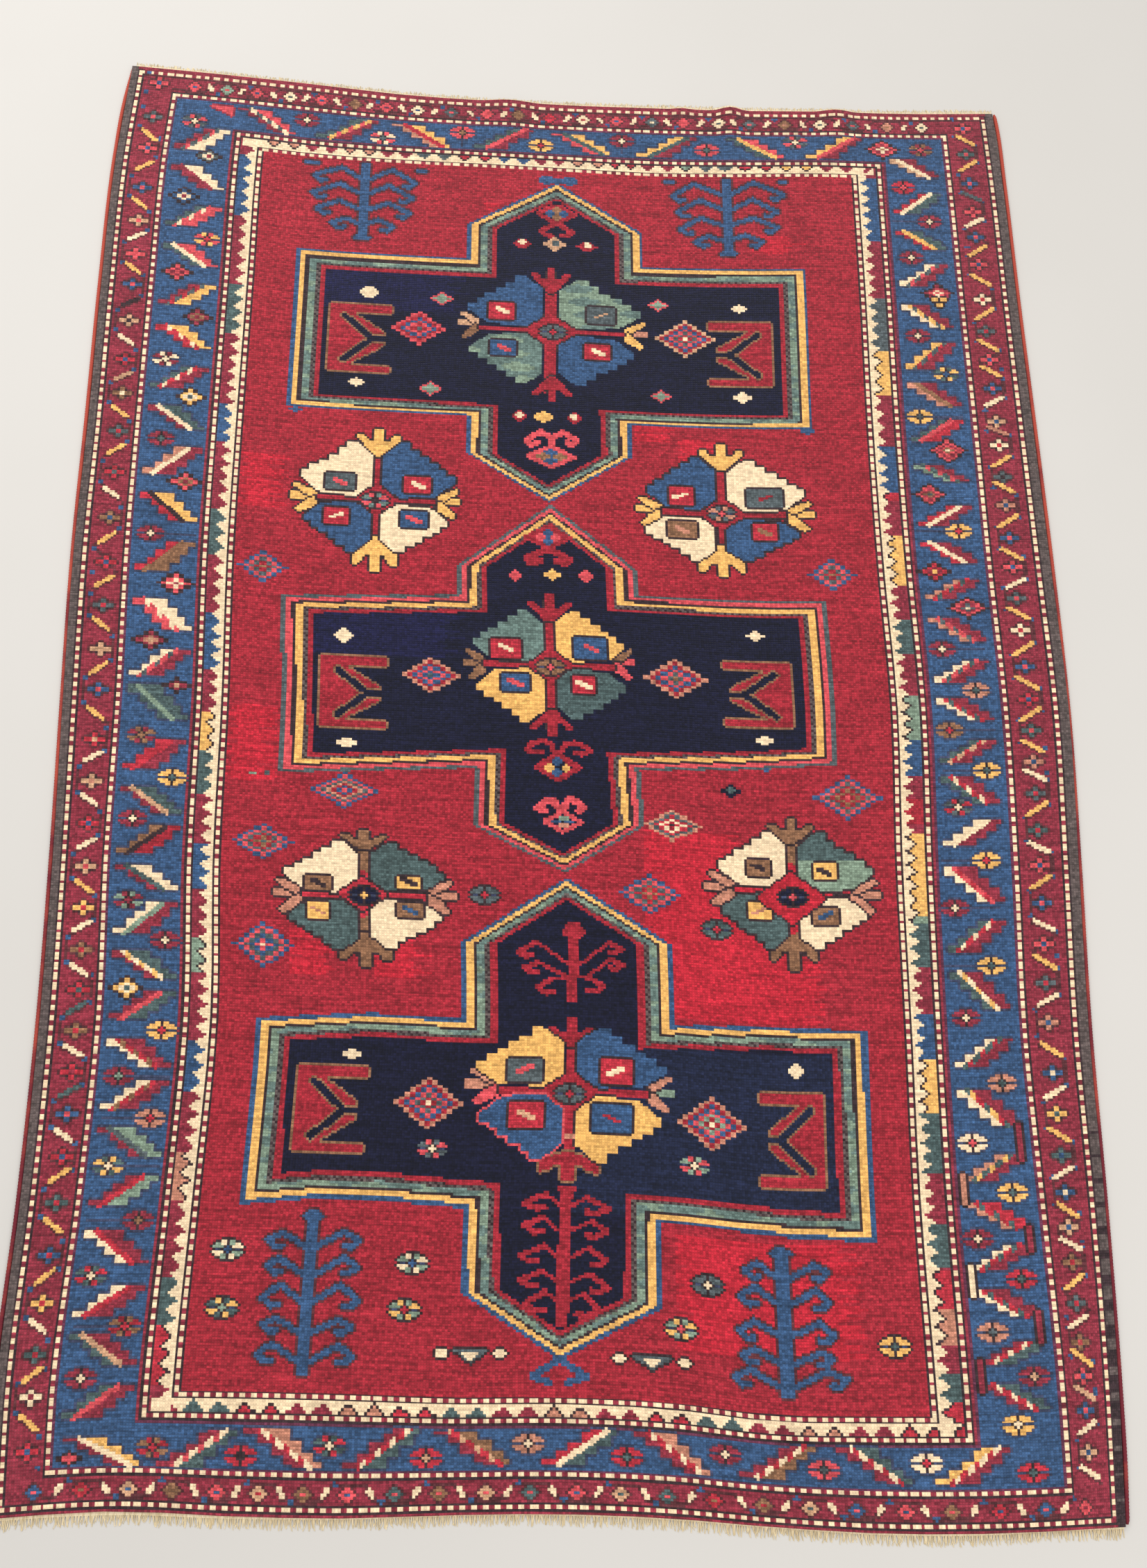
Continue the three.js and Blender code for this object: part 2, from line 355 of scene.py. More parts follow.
tie("w", span(2.9, 392.4, -1, 1.2) | span(2.9, 392.4, 626.5, 629))
tie("h", span(-1, 2.9, -1, 629) | span(392.4, 397, -1, 629))
tie("k", span(392.4, 397, -1, 150) & (row_at % 9 > row_at / 17))  # a darker lot of yarn

# Saw teeth: ivory points out over grounds that change dye as the weaver went.
LEFT_GROUNDS = """34w 43s 64t 81w 109a 127w 150b 170w 197g 211w 231b 250w 271t 290y 307w 326b
352w 379t 401w 434b 453w 489t 515w 552b 586w 600w"""
RIGHT_GROUNDS = """34s 46t 56w 65.5a 79s 93.5t 110.3w 128.5t 152.3y 173b 190.8w 210t 228g 231y
266w 270M 281w 290.5b 306.7g 327.5w 345.5t 361.6w 377.5y 402w 419s 423b 446.4w 472.4y 495.3l
522.8w 554b 589w 600w"""
BOTTOM_GROUNDS = "wttsswwaassttwwaawwssttwwaawwss"
TOP_GROUNDS = "aawwaawwllssbbwwaasswwgllssyywwww"

LEFT_TEETH = (38.2, 100.8, 163.4, 223.1, 283.9, 344.4, 414.1, 476.1, 545.6, 612)
RIGHT_TEETH = (39.5, 99.9, 154, 208.8, 267.2, 322.2, 377.9, 435.2, 502.8, 565.5, 625)
TOP_TEETH = (
    64.1, 81.1, 97.4, 113.8, 130.1, 147.5, 165.4, 181.9, 197.4, 215.4, 229, 245.8, 263, 281, 299.6,
    317.4,
)

for c0, c1, grounds in ((53.5, 61, LEFT_GROUNDS), (327, 335.8, RIGHT_GROUNDS)):
    starts = [float(lot[:-1]) for lot in grounds.split()]
    for lot, r0, r1 in zip(grounds.split(), starts, starts[1:]):
        tie(lot[-1], span(c0, c1, max(r0, 34), min(r1, 595.3)))


def teeth_from(stations, every, along):
    """Counts the teeth along a side, given where every so many of them starts."""
    beyond = [*stations, 2 * stations[-1] - stations[-2], 3 * stations[-1] - 2 * stations[-2]]
    return np.interp(along, beyond, np.arange(len(beyond)) * every)


bottom_count = (column_at - 55.14) / 8.86
top_count = teeth_from(TOP_TEETH, 2, column_at)
for part, count, grounds in (
    (span(60, 328, 34, 39.1), bottom_count, BOTTOM_GROUNDS),
    (span(60, 328, 590.6, 595.3), top_count, TOP_GROUNDS),
):
    for number, dye in enumerate(grounds):
        tie(dye, part & (np.floor(count) == number))


def zigzag(count):
    """0 at the tip of a tooth and 1 midway between two."""
    return 1 - np.abs(2 * (count % 1) - 1)


teeth = (
    (column_at > 56 + 3.8 * zigzag(teeth_from(LEFT_TEETH, 10, row_at))) & (column_at < 60.9)
    | (column_at < 332 - 3.8 * zigzag(teeth_from(RIGHT_TEETH, 10, row_at))) & (column_at > 327.1)
    | (row_at > 33.5 + 4.6 * zigzag(bottom_count)) & (row_at < 38.6)
    | (row_at < 595.8 - 4.2 * zigzag(top_count)) & (row_at > 591)
) & span(54.0, 334.8, 34, 595.3)
pale = np.isin(chart, [LETTERS.index(d) for d in "ygau"])
tooth_line = grown(teeth) & ~teeth & span(53.5, 335.8, 34, 595.3)
tie("k", tooth_line & (pale | (chart == LETTERS.index("s"))))
tie("v", teeth)
tie("k", span(60.9, 327.1, 38.6, 591))
tie("M", span(64, 324, 41, 588.8))

# Beads: pairs of ivory knots between wine ones, in four rings.
BEAD_ROWS, BEAD_COLUMNS = 4.1, 4.2
down = (row_at + 0.5 * np.sin(row_at / 17)) / BEAD_ROWS % 1
across = (column_at + 0.5 * np.sin(column_at / 13)) / BEAD_COLUMNS % 1
for left, right, bottom, top in (
    ((3.5, 5.0), (390.1, 391.7), (1.8, 3.3), (624.5, 626)),
    ((19.9, 21.4), (370.5, 372.1), (13.1, 14.6), (613.8, 615.2)),
    ((51.3, 52.8), (336.7, 338.3), (31.9, 33.4), (596, 597.5)),
    ((61.7, 63.2), (324.8, 326.3), (39.1, 40.6), (589.1, 590.6)),
):
    limits = bottom[0], top[1]
    sides = span(*left, *limits) | span(*right, *limits)
    ends = span(left[0], right[1], *bottom) | span(left[0], right[1], *top)
    tie("w", sides | ends)
    tie("v", sides & ~ends & (down < 0.6) | ends & (across < 0.55))


# The motifs of the borders: stepped leaves, eight-petalled flowers, diamonds.
FLOWER = """
...aakbb...
.bbaakbbaa.
bbbbkckaaaa
.xxkccckxx.
aaaakckbbbb
.aabbkaabb.
...bbkaa...
"""
BUD = """
...aa...
..kaak..
aaabbaaa
aaabbaaa
..kaak..
...aa...
"""
SMALL_BUD = """
..aa..
.aaaa.
aabbaa
.aaaa.
..aa..
"""


def flower(column, row, dyes, edge="k"):
    """An eight-petalled flower: the dyes of its petals, turn about, and its heart."""
    paste(FLOWER, column, row, edge, **dict(zip("abc", dyes)))


def leaf(column, r0, r1, slant, dyes, width=24, slim=0):
    """A stepped leaf in two dyes on a ribbed slant, / or \\. The other dyes are
    those of the rib."""

    def place(*points):
        return [
            (column + (x - 12) * width / 24, r0 + (y if slant == "/" else 12 - y) * (r1 - r0) / 12)
            for x, y in points
        ]

    whole = inside(
        place(
            (0.3, 0), (0.3, 2.7 - slim), (4.6, 2.7 - slim), (4.6, 5.7 - slim), (8.5, 5.7 - slim),
            (8.5, 8.8 - slim), (12.5, 8.8 - slim), (12.5, 12 - slim), (15.5, 12 - slim),
            (15.5, 12), (23.7, 12), (23.7, 10.2), (21.4, 10.2), (21.4, 6.9), (17.6, 6.9),
            (17.6, 3.4), (13.8, 3.4), (13.8, 0),
        )
    )
    tie(dyes[0], whole, "x")
    tie(dyes[1], whole & inside(place((3.6 + slim, 0), (18 + 2 * slim, 12), (24, 12), (24, 0))))
    line = stroke(place((4.4 + slim, 0.4), (18.4 + 2 * slim, 11.6)), 1.9)
    run = (column_at - column + 12) / 2.5
    for number, dye in enumerate(dyes[2:]):
        tie(dye, line & (run.astype(int) % len(dyes[2:]) == number))


def bar(column, row, slant, dye, length, rise):
    turn = 1 if slant == "/" else -1
    ends = [(column + side * length / 2 * turn, row + side * rise / 2) for side in (-1, 1)]
    tie("q", stroke([(c, r - 0.7) for c, r in ends], 2.2))
    tie(dye, stroke(ends, 1.8))


# Leaves: rows it lies between (at the ends its column first) and its dyes. Flowers:
# column, row, dyes.
LEFT_LEAVES = """586 598 wvcl, 564.5 577 wvw, 543.5 555 tcvc, 522.5 534 tcv, 501.5 513 wysl,
479.5 491 syvs, 459 470 twvs, 438.5 450 wtv, 416 429.5 awv, 393.5 407 syk, 369.5 384 soo,
342.5 357 cvvc, 321.5 334 vwlc, 302.5 317.5 ttg, 280.5 293.5 sws, 262 273 wtu, 244.5 256.5 oMk,
230 240 wvt, 211.5 224.5 vwg, 194 204.5 wtyv, 177.5 188.5 wtc, 159 169.5 vwos, 142.5 153.5 vwos,
125 136 wgl, 106.5 118 wgs, 85.5 98 vws, 67 77.5 vws, 50 61 twu, 31.5 43 twc"""
LEFT_FLOWERS = """32 601.5 clv bare, 42.5 538 ycs, 30 474 vwv, 30.5 434 wwt, 30 387.5 wwv,
31 296 owo bare, 44 277 yyt, 30 259 wwv, 29.5 226 wgw, 43.5 209 wwv, 43.5 174 yys, 30 155.5 wwg,
43 139.5 aas, 30 121.5 tyv, 42.5 101.5 wwo, 29 82 stv, 43 63.5 Mos, 29.5 46 wwv"""
RIGHT_LEAVES = """590 600.5 uwv, 569.8 581.4 stv, 550.3 560.3 sty, 530 541.5 vwcl,
507.5 519.6 vwly, 486 499.8 ywsl, 466.8 478.8 awo, 449 460 tsc, 428.8 437.2 gwct, 407 416.8 swv,
389.2 399.4 swv, 371.8 381.4 awts, 352 363 awlc, 333.4 343.4 vwtc, 315.6 325.6 vwts,
297 306.8 twsu, 279 291 twvs, 261 271.8 vwv, 236.5 251.8 vwsc, 216.4 229 twvs, 192.7 208.3 twyv,
169.6 181.3 vwst, 146.5 161.2 vwsty, 126 135.8 awyt, 108 118 asts, 93 102.3 vwts, 75.6 85.5 vwts,
59.3 66.6 wtvs, 43 52 wtvs"""
RIGHT_FLOWERS = """359 606.3 woc bare, 348.5 584.5 ssc bare, 360 565.7 wwv, 349.5 546 wwv,
349.5 504 wwv, 360.5 483 ytb, 348 461.7 yyl, 360 404.3 yys, 347.3 348.2 wwv, 360 329.7 aat bare,
348 311.6 oos, 362 293.3 yyt, 349.7 277 slv bare, 360 254.8 yys, 346.5 234.4 wwv,
359.5 210.4 yyt, 348.3 190 wwv, 360.5 163.5 aat bare, 347.5 140.7 vvc bare, 360.8 121 yyt bare,
346.5 104.6 wwv bare, 360.3 89.5 sst bare, 349 70.5 aal bare, 361.3 54.6 wwu bare,
355.2 38 yyv bare, 358.5 20.5 sst bare"""
END_LEAVES = """38.5 15.5 25 wyv, 70.5 15.5 28 wtvc, 99.5 16 28.5 wavs, 133 16.3 29.6 wtvs,
164.3 17 29.4 wosu, 201.2 17 30 stv, 232.7 16.7 30 wavs, 269.6 17 30.3 wosv, 302.8 17 30 wtsv,
337.5 17 30 ywvs, 63.5 599.7 611 wcvl, 99.5 600 611.4 twyc, 132.2 599.4 611.3 ays,
169 600 612.3 twc, 203 600 611.3 cyt, 241.5 600 611.7 ywt, 280.7 600 611.3 tcy,
317 600 613 ywc"""
END_FLOWERS = """56 22 Mos, 85.5 20 ssk, 116 23.8 stv, 148.8 19.8 ssu, 183 25 aav, 217 20.2 sst,
251 24.8 wwv, 285.3 21.2 ccl, 321 24.4 vvs, 82 608.6 wwv, 115 602.9 vcl, 150.5 608.3 cco,
186 603.8 yys, 221.5 608.8 wwv, 259 604.5 cct, 300 609.5 clv"""
for text, middle in ((LEFT_FLOWERS, 36.2), (RIGHT_FLOWERS, 354.8)):
    for column, row, dyes, *bare in entries(text):
        if not bare:  # a thin dark stem runs across the border
            stem = sorted((column, column + math.copysign(18, middle - column)))
            tie("x", span(*stem, row - 0.5, row + 0.5))
        flower(column, row, dyes, "x")
for text, column, slants in ((LEFT_LEAVES, 36.2, "/\\"), (RIGHT_LEAVES, 354.8, "\\/")):
    for number, (r0, r1, dyes) in enumerate(entries(text)):
        leaf(column, r0, r1, slants[number % 2], dyes)
for number, (column, r0, r1, dyes) in enumerate(entries(END_LEAVES)):
    leaf(column, r0, r1, "\\/"[number % 2], dyes, width=27, slim=1.1)
for column, row, dyes in entries(END_FLOWERS):
    stem = (row - 8, row) if row > 300 else (16, row)
    tie("x", span(column - 0.5, column + 0.5, *stem))
    flower(column, row, dyes, "x")

# Lozenges and a small cross that stand in for a flower in the main border.
for place in entries(
    """40 583 12 9 klvw, 31.5 560 14 11 kbvw, 31 519 14 11 kcwc, 41.5 496 13 10 kwow,
    41.5 455 13 10 kyvl, 42 413 15 11 kcow, 41 364.5 16 12 kcvw, 32 338 15 10 kwau,
    43.5 318 12 8 kwu, 30 190 13 10 kyvt, 27.7 18.2 8.4 6 kcc, 340 606.3 18 12 kcwvo,
    358.5 444.3 17 13 kcwcov, 349 422.5 15 11.5 kcwol, 360.5 367.8 18 11 kcwlv,
    348 385 15 10.5 kswy, 360.5 526.3 16 11.5 kwcvc"""
):
    lozenge(*place)
paste("yyy.yyy yyykyyy .kkkkk. ..yyy.. ..yyy..", 360.5, 521.6)
tie("c", inside([(38, 610.5), (48, 606), (48, 610.5)]), "w")

# Thin angular bars that join the lowest leaf tips of the right border.
for dye, *limits in entries(
    """w 364.4 366.8 133 148, a 341.6 343.6 116.5 129, w 364.4 366.8 98.8 109.5,
    v 341.6 343.6 83 95, w 364.4 366.8 66 77.6, w 342 344 49 61"""
):
    tie(dye, span(*limits), "k")

# The guard border: small four-petalled buds and slanting bars, turn about.
LEFT_GUARD = """620cb 602lc 592.5y\\ 585.5cb 575y/ 563.5bc 554.5y\\ 545uc 536.5v/ 527.5cc 519.5y\\
510.5bc 501.5k/ 492uk 482v\\ 472sb 463.5u/ 455ov 446y\\ 436ls 427y/ 416sl 406v\\ 394ob
384.5y/ 373.5sb 364y/ 353ls 344.5y\\ 333.5uu 324.5y/ 314.5bc 304.5y\\ 293su 285.5v/
275.5ua 267v\\ 257sb 248.5v/ 239uc 231y\\ 222ys 214.5v/ 205os 197v\\ 189.5st 182t/
173os 165.5v\\ 157sw 149.5t/ 141bc 133v\\ 125sb 118y/ 108ts 100y\\ 89bs 81.5y/ 72ys
64v\\ 54ts 47y/ 39vw 31y\\ 21sb"""
RIGHT_GUARD = """619.5cb 612.5y\\ 604.3tc 597.2y/ 586.8bc 579.8l\\ 571.3cw 565.3v/ 556.7bc
549.7y/ 541.7cb 533.7y\\ 523.3vs 515.2y/ 505.7ls 498.7y\\ 491cb 485y\\ 476bc 469.4v/
459.5ub 454.5a\\ 446.5vs 439y/ 430.8lk 426y\\ 416.5ab 409.4y/ 401bc 393.3y\\ 386.5cb
379v/ 371.8lc 365y\\ 356.5vs 348.3y/ 340bc 332.8y\\ 324.7sb 318.3y/ 310.7tc 304y\\
297.5ab 291.3v\\ 283.5ls 276.3y/ 267.3ts 259.7v\\ 252.3cb 245y/ 236bc 227v\\ 219cb
211.8y\\ 203.5ls 196v/ 187ab 176.5y\\ 167.3bv 159.4v/ 150.7yt 143y\\ 135tb 128.5v/
121.5bv 114.5y\\ 107.8ub 101.8v\\ 95.3os 88y/ 80.3ls 73.5v/ 66.3oc 60.8y\\ 54cb
48.3u\\ 42.3bc 36v/ 26.7ub 20v\\"""
BOTTOM_GUARD = """16bc 24.5v 32.5so 40.5v 48ub 56v 63oo 70.5v 78cb 84.5v 92us 99.5v 107oc
114.3v 122cb 130v 137.7tc 145.2v 153oc 160.5v 169uc 176.6v 184.3tc 192v 199.6cb 207.3v
215.5ut 223.5v 231tc 239v 247so 256.7v 264.4os 271.8v 279.8ut 287.8v 295.7bc 304v
312.7cb 320v 328.7oc 337v 346sb 353.8v 362bc 369.3v 378cw"""
TOP_GUARD = """29cb 36.5v 44gc 51v 58.5cb 65.5v 72.7vl 80v 86.7cb 94v 101.7oo 108.5v 116cp
123v 130.3vb 137.5v 144.8lc 153.8v 161.2cc 168.5v 175oo 182.3v 189.5sw 197v 204.2vs
211.8v 219.2cb 226.8v 234.5lv 242v 248.5cc 257v 264.8vl 271.5v 279lc 287v 294.8oa
303.2v 311vl 318.7v 325.8lc 333.5v 343.5ao 351.5v 360vt"""


def guard_list(text):
    """The places along a guard and what stands there: a bud in two dyes, or a bar
    in one dye, with its slant where that isn't turn about."""
    marks = [word.lstrip("0123456789.") for word in text.split()]
    return [(float(word[: -len(mark)]), mark) for word, mark in zip(text.split(), marks)]


for text, column, long in ((LEFT_GUARD, 12.6, 6.2), (RIGHT_GUARD, 380.8, 7.4)):
    vine, dots, turn = [], [], -1
    for row, mark in guard_list(text):
        if mark[1] in "/\\":
            turn = 1 if mark[1] == "\\" else -1
            vine += [(column - turn * 4.8, row + 4.2), (column + turn * 4.8, row - 4.2)]
        else:
            dots += [(column + turn * 4.6, row + 5.2), (column + turn * 4.6, row - 5.2)]
    tie("q", stroke(vine, 1.2))
    for place in dots:
        tie("b", oval(*place, 2.2, 1.9))
    for row, mark in guard_list(text):
        if mark[1] in "/\\":
            bar(column, row, mark[1], mark[0], long, 5 if mark[0] == "y" else 4)
        else:
            paste(BUD, column, row, "q", a=mark[0], b=mark[1])
for text, row in ((BOTTOM_GUARD, 8.0), (TOP_GUARD, 619.9)):
    vine, turn = [(20, row - 2.6)], 1
    for column, mark in guard_list(text):
        if len(mark) == 1:
            turn = -turn
            vine += [(column - 2.6, row + turn * 2.9), (column + 2.6, row - turn * 2.9)]
    tie("q", stroke(vine, 1.2))
    for column, mark in guard_list(text):
        if len(mark) == 2:
            paste(SMALL_BUD, column, row, "q", a=mark[0], b=mark[1])
        else:
            turn = -turn
            bar(column, row, "/" if turn > 0 else "\\", mark, 1.4, 2)
            tie("b", oval(column + 3.6, row + turn * 2.7, 2.4, 1.9))

# The field: three medallions, one above the other, with bands of their own.
# Each: its outline; how thin the bands run along its upper and lower edges; the
# bands from outside in.
MEDALLIONS = (
    (
        """193 582.3, 230.5 556.5, 230.5 538, 301.5 538.5, 301.5 454.3, 224.5 453.8, 225.3 438,
        190.5 413, 156 436.3, 156.5 454.5, 81 455.5, 81 538, 154.3 538, 154.3 557""",
        (0.8, 0.55), "1.8 b, 2.5 y, 1.6 k, 2.8 g, 1.9 h, 2.2 M",
    ),
    (
        """191 412, 226 382, 226 370.5, 302.5 370, 302.5 295.5, 224.5 289.5, 226.5 265.5,
        195.5 243.5, 160 263, 159.5 288, 84.5 282.5, 83 363, 152.5 367, 153 381""",
        (0.68, 0.65), "2 l, 2.3 c, 1.6 k, 2.7 y, 1.8 h, 2.1 M",
    ),
    (
        """196 241.5, 236 215.5, 236 183, 270 185.5, 309.5 184, 310.5 103, 285 104, 260 105.5,
        231.5 105.5, 231 74.3, 194.5 54, 159.5 78, 158.5 109.3, 130 111.2, 105 111, 78 108,
        77.5 180, 100 182, 120 183.6, 155 182.8, 155 213.5""",
        (0.7, 0.78), "2.3 b, 2.7 y, 1.4 k, 3 g, 1.8 h, 2.5 M",
    ),
)


def inset(outline, width, flat):
    """An outline moved inwards, its corners kept sharp. A band that runs across
    the rug or at a slant is thinner than one that runs along it."""
    points = np.array(outline)
    along = np.roll(points, -1, 0) - points
    inwards = np.column_stack((along[:, 1], -along[:, 0])) / np.hypot(*along.T)[:, None]
    thin = np.where(inwards[:, 1] < 0, *flat)
    shift = width * np.maximum(np.abs(inwards[:, 0]), thin * np.abs(inwards[:, 1]))
    reach = (inwards * points).sum(1) + shift
    return [
        tuple(np.linalg.solve(inwards[[k - 1, k]], reach[[k - 1, k]])) for k in range(len(points))
    ]


for outline, flat, bands in MEDALLIONS:
    reach = 0
    for width, dye in [*entries(bands), (0, "n")]:
        tie(dye, inside(inset(entries(outline), reach, flat)))
        reach += width
# Uneven lots of yarn in the green and the brown bands.
lot = np.sin(row_at * 0.9 + 2 * np.sin(column_at / 23)) + np.sin(column_at * 0.31 + row_at / 9)
medallions = span(77, 311, 54, 583)
chart[(chart == LETTERS.index("g")) & (lot < -0.1) & medallions] = LETTERS.index("e")
checked = (column_at + row_at).astype(int) % 3 == 0
chart[(chart == LETTERS.index("h")) & checked & medallions] = LETTERS.index("k")


def lobe(inner, outer, near, far, body, c0, c1, r0, r1, dye, dash, edge="k"):
    """A quarter of a palmette: a stepped lobe with a square eye and a dash in it.
    Inner and outer are columns from the stem out, near and far rows from the
    centre out; then the columns, rows and dye of the eye, and the dash's slant
    and dye."""
    outline = (
        (1, 0.22), (1, 0.76), (0.77, 1), (0.63, 1), (0.63, 0.87), (0.5, 0.87), (0.5, 0.75),
        (0.36, 0.75), (0.36, 0.64), (0.23, 0.64), (0.23, 0.54), (0.11, 0.54), (0.11, 0.43),
        (0, 0.43), (0, 0.3), (0.27, 0.04), (0.77, 0),
    )
    corners = [(outer + x * (inner - outer), near + y * (far - near)) for x, y in outline]
    tie(body, inside(corners), edge)
    tie(dye, span(c0, c1, r0, r1), "k")
    column, row, slant = (c0 + c1) / 2, (r0 + r1) / 2, 1 if dash[0] == "/" else -1
    for step in (-1, 0, 1):
        c, r = column + 1.9 * step, row + slant * 0.95 * step
        tie(dash[1], span(c - 1.3, c + 1.3, r - 0.85, r + 0.85))


def hand(column, row, way, half, tips, middle, dye, wing=0.19, edge="k"):
    """Three blades that open out of a stem, up or down from a row: half its width,
    how far the outer and the middle blades reach, and how broad the outer ones are."""
    right = (
        (0.17, 0), (0.28, 0.12 * tips), (1, (1 - wing) * tips), (1, tips), (0.72, 0.97 * tips),
        (0.42, 0.67 * tips), (0.21, 0.67 * tips), (0.21, middle),
    )
    shape = [*right, *((-x, y) for x, y in reversed(right))]
    tie(dye, inside([(column + x * half, row + way * y) for x, y in shape]), edge)


def fingers(column, row, way, dyes, reach=11.2):
    """Three fingers at the end of an arm, each with a dye of its own, top first."""
    share = reach / 11.2
    for dye, shape in (
        (dyes[1], ((0, 3.1), (-5.5, 2.2), (-11.2, 2.2), (-11.2, -0.9), (-5.5, -0.9), (0, -3.6))),
        (dyes[0], ((0, 3.1), (-9, 7.2), (-10.2, 5.6), (-5.5, 2.2), (-1, -0.5))),
        (dyes[2], ((0, -3.6), (-7.2, -7.6), (-9.2, -6.3), (-5, -1.5), (-1, 1))),
    ):
        tie(dye, inside([(column - way * x * share, row + y) for x, y in shape]), "k")


def palmette(text):
    """Four lobes round a stem, a hand at each end of it, fingers at each side. In
    turn: its centre; limits and dye of the stem and of the arms; the heart's size,
    dye and flower; two hands, two ends of arms, four lobes; at some, the size of a
    second heart over the lobes."""
    centre, stem, arms, (wide, high, heart, petals), *rest = entries(text)
    tie(stem[4], span(*stem[:4]), "k")
    for one in rest[:2]:
        hand(*one)
    for one in rest[2:4]:
        fingers(*one)
    tie(arms[4], span(*arms[:4]), "k")
    tie(heart, diamond(*centre, wide, high))
    for one in rest[4:8]:
        lobe(*one)
    for size in rest[8:]:
        tie(heart, diamond(*centre, *size), "k")
    flower(*centre, petals)


palmette(
    """191 500.5, 188 193 468 533 M, 160 222 499.5 502.5 M, 34 26 M lls,
    190.5 521 1 8.5 11.5 13.6 M, 191.5 477 -1 8.5 10.5 13 M, 160 502.5 -1 uuo 9,
    222 501 1 yay 10, 187.3 155 502.8 529.5 b 164 175.5 506 515.5 s \\v,
    193.7 229 502.8 529 g 206 218 506 515 l /u,
    187.3 156.5 499.2 472.5 e 165 176.5 486.5 495.5 b \\c,
    193.7 226.5 499 473 b 205 216.5 486.5 495.5 s \\v"""
)
# Its two green lobes are tied from mixed lots of the green yarn.
for old, new, limits in (("g", "e", (193.7, 230, 502, 530)), ("e", "g", (155, 188, 472, 500))):
    mixed = span(*limits) & (lot > 0.35) & (chart == LETTERS.index(old))
    chart[mixed] = LETTERS.index(new)
palmette(
    """189.8 334.5, 187.3 191.6 306 366 M, 163 215 334.2 336.6 M, 32 24 M ooc,
    189.8 355.5 1 9 9.8 13 M, 189.8 315 -1 8.5 9.3 12.5 M, 164 335 -1 ooo 9, 214.5 337.5 1 occ 9,
    186.8 159 336.7 361 e 165.7 178.5 338.3 347.3 s \\v,
    191.8 219.5 337.2 361 y 199.3 212.5 339 349 b \\c,
    187 160.5 333.8 309 y 170 181.3 322.7 331.2 b \\c,
    191.8 219.5 334 310.5 t 197.8 207.4 323.4 331 s \\v"""
)
palmette(
    """196.8 153.7, 194.5 199.2 124 181 M, 170 226 153.4 156 M, 36 27 M lls,
    196.8 172 1 9 8.5 11.7 M, 196.6 131 -1 11 7.6 10.8 M 0.6 o, 170.5 156.3 -1 aac 13,
    225.5 155.2 1 aga 10.5, 194 161 156.2 179.5 y 173.3 186 158.3 167.3 l /c,
    199.5 233 156.3 180 b 207.7 219.7 158.2 167.6 s /v,
    193.6 163.5 153.3 128 b 174 187 139.7 150.4 s \\u c,
    199.5 231 153 127.3 y 205.3 220 139.2 150 b \\s"""
)
tie("a", span(195, 198.8, 136.2, 138.5))


# Small figures over and under each palmette.
def quartered(column, row, wide, high, dyes, thick=2.2):
    """A diamond drawn in a line, with four little ones inside. Dyes: of the line,
    then above, below, left, right."""
    corners = (0, 1), (-1, 0), (0, -1), (1, 0), (0, 1)
    line = [(column + x * wide / 2, row + y * high / 2) for x, y in corners]
    tie(dyes[0], stroke(line, thick))
    for dye, x, y in zip(dyes[1:], (0, 0, -1, 1), (1, -1, 0, 0)):
        tie(dye, diamond(column + x * wide * 0.2, row + y * high * 0.2, wide * 0.37, high * 0.42))


def horns(dye, *arms, width=2.5):
    """Hooked arms, like a ram's horns."""
    for points in arms:
        tie(dye, stroke(entries(points), width))


def spots(text):
    """Small diamonds: column, row, width, height, dye and, if any, dye of its spot."""
    for column, row, width, height, dyes in entries(text):
        tie(dyes[0], diamond(column, row, width, height))
        for dye in dyes[1:]:
            tie(dye, oval(column, row + 0.8, 3.4, 2.9))


tie("b", oval(188.5, 583.8, 7.5, 5) | oval(198.3, 583.8, 7.5, 5) | span(191.5, 195, 582, 585))
quartered(192.8, 564.8, 16, 10.5, "Moobb")
tie("n", diamond(192.7, 571.3, 6, 2.6))
horns(
    "M",
    "192 559.5, 186.2 554.9, 188 553, 190.4 552.8",
    "193.5 559.5, 199.6 554.9, 197.5 553, 195.2 552.9",
)
spots("178 547.5 10 7.5 Mv, 192.3 547.7 10.5 9 ul, 206.2 547.5 10.5 7.5 Mv")
spots("178 455.6 8 6 Mv, 188.4 455.8 9 6.8 y, 200.8 455.8 8 6.4 Mv")
horns(
    "c",
    "191 446, 187 448.3, 180.8 444, 183 441.4, 186 443",
    "193 446.4, 196.3 448.6, 202.2 444.6, 199.6 442.2, 197.8 443.4",
)
tie("c", span(190, 193.3, 440.5, 446.5))
quartered(191.3, 436, 18.6, 10.4, "cbboo", thick=2.1)
quartered(190, 396, 17, 10.5, "Mbbcc")
horns(
    "M",
    "189.5 390.2, 181 385.4, 182.8 383.4, 187 384.6",
    "190.5 390.2, 198.6 385.4, 197 383.4, 193 384.8",
    width=3,
)
spots("176.5 377.2 8 6.4 c, 191.5 378 8.4 7.4 y, 205 378.3 7.6 6.4 c")
horns(
    "M",
    "190.5 296.5, 189.3 300, 185.5 301, 181.5 299.3, 180 297, 182.5 295.8, 186 296.4",
    "193.5 296.5, 195 299.9, 198.5 300.4, 202 299.2, 205 297.3, 202 295.6, 198.5 296",
    width=2.1,
)
quartered(192.3, 289.4, 16, 11, "Mbbyy", thick=2.5)
horns(
    "c",
    "193 271, 191 274.3, 188.8 275, 184.6 271.3, 187.6 270.3",
    "195 271, 196 274.8, 198 275.5, 203 272, 200.8 270.4",
    width=2.7,
)
quartered(194.6, 265.5, 14, 8.6, "cgabb", thick=1.9)

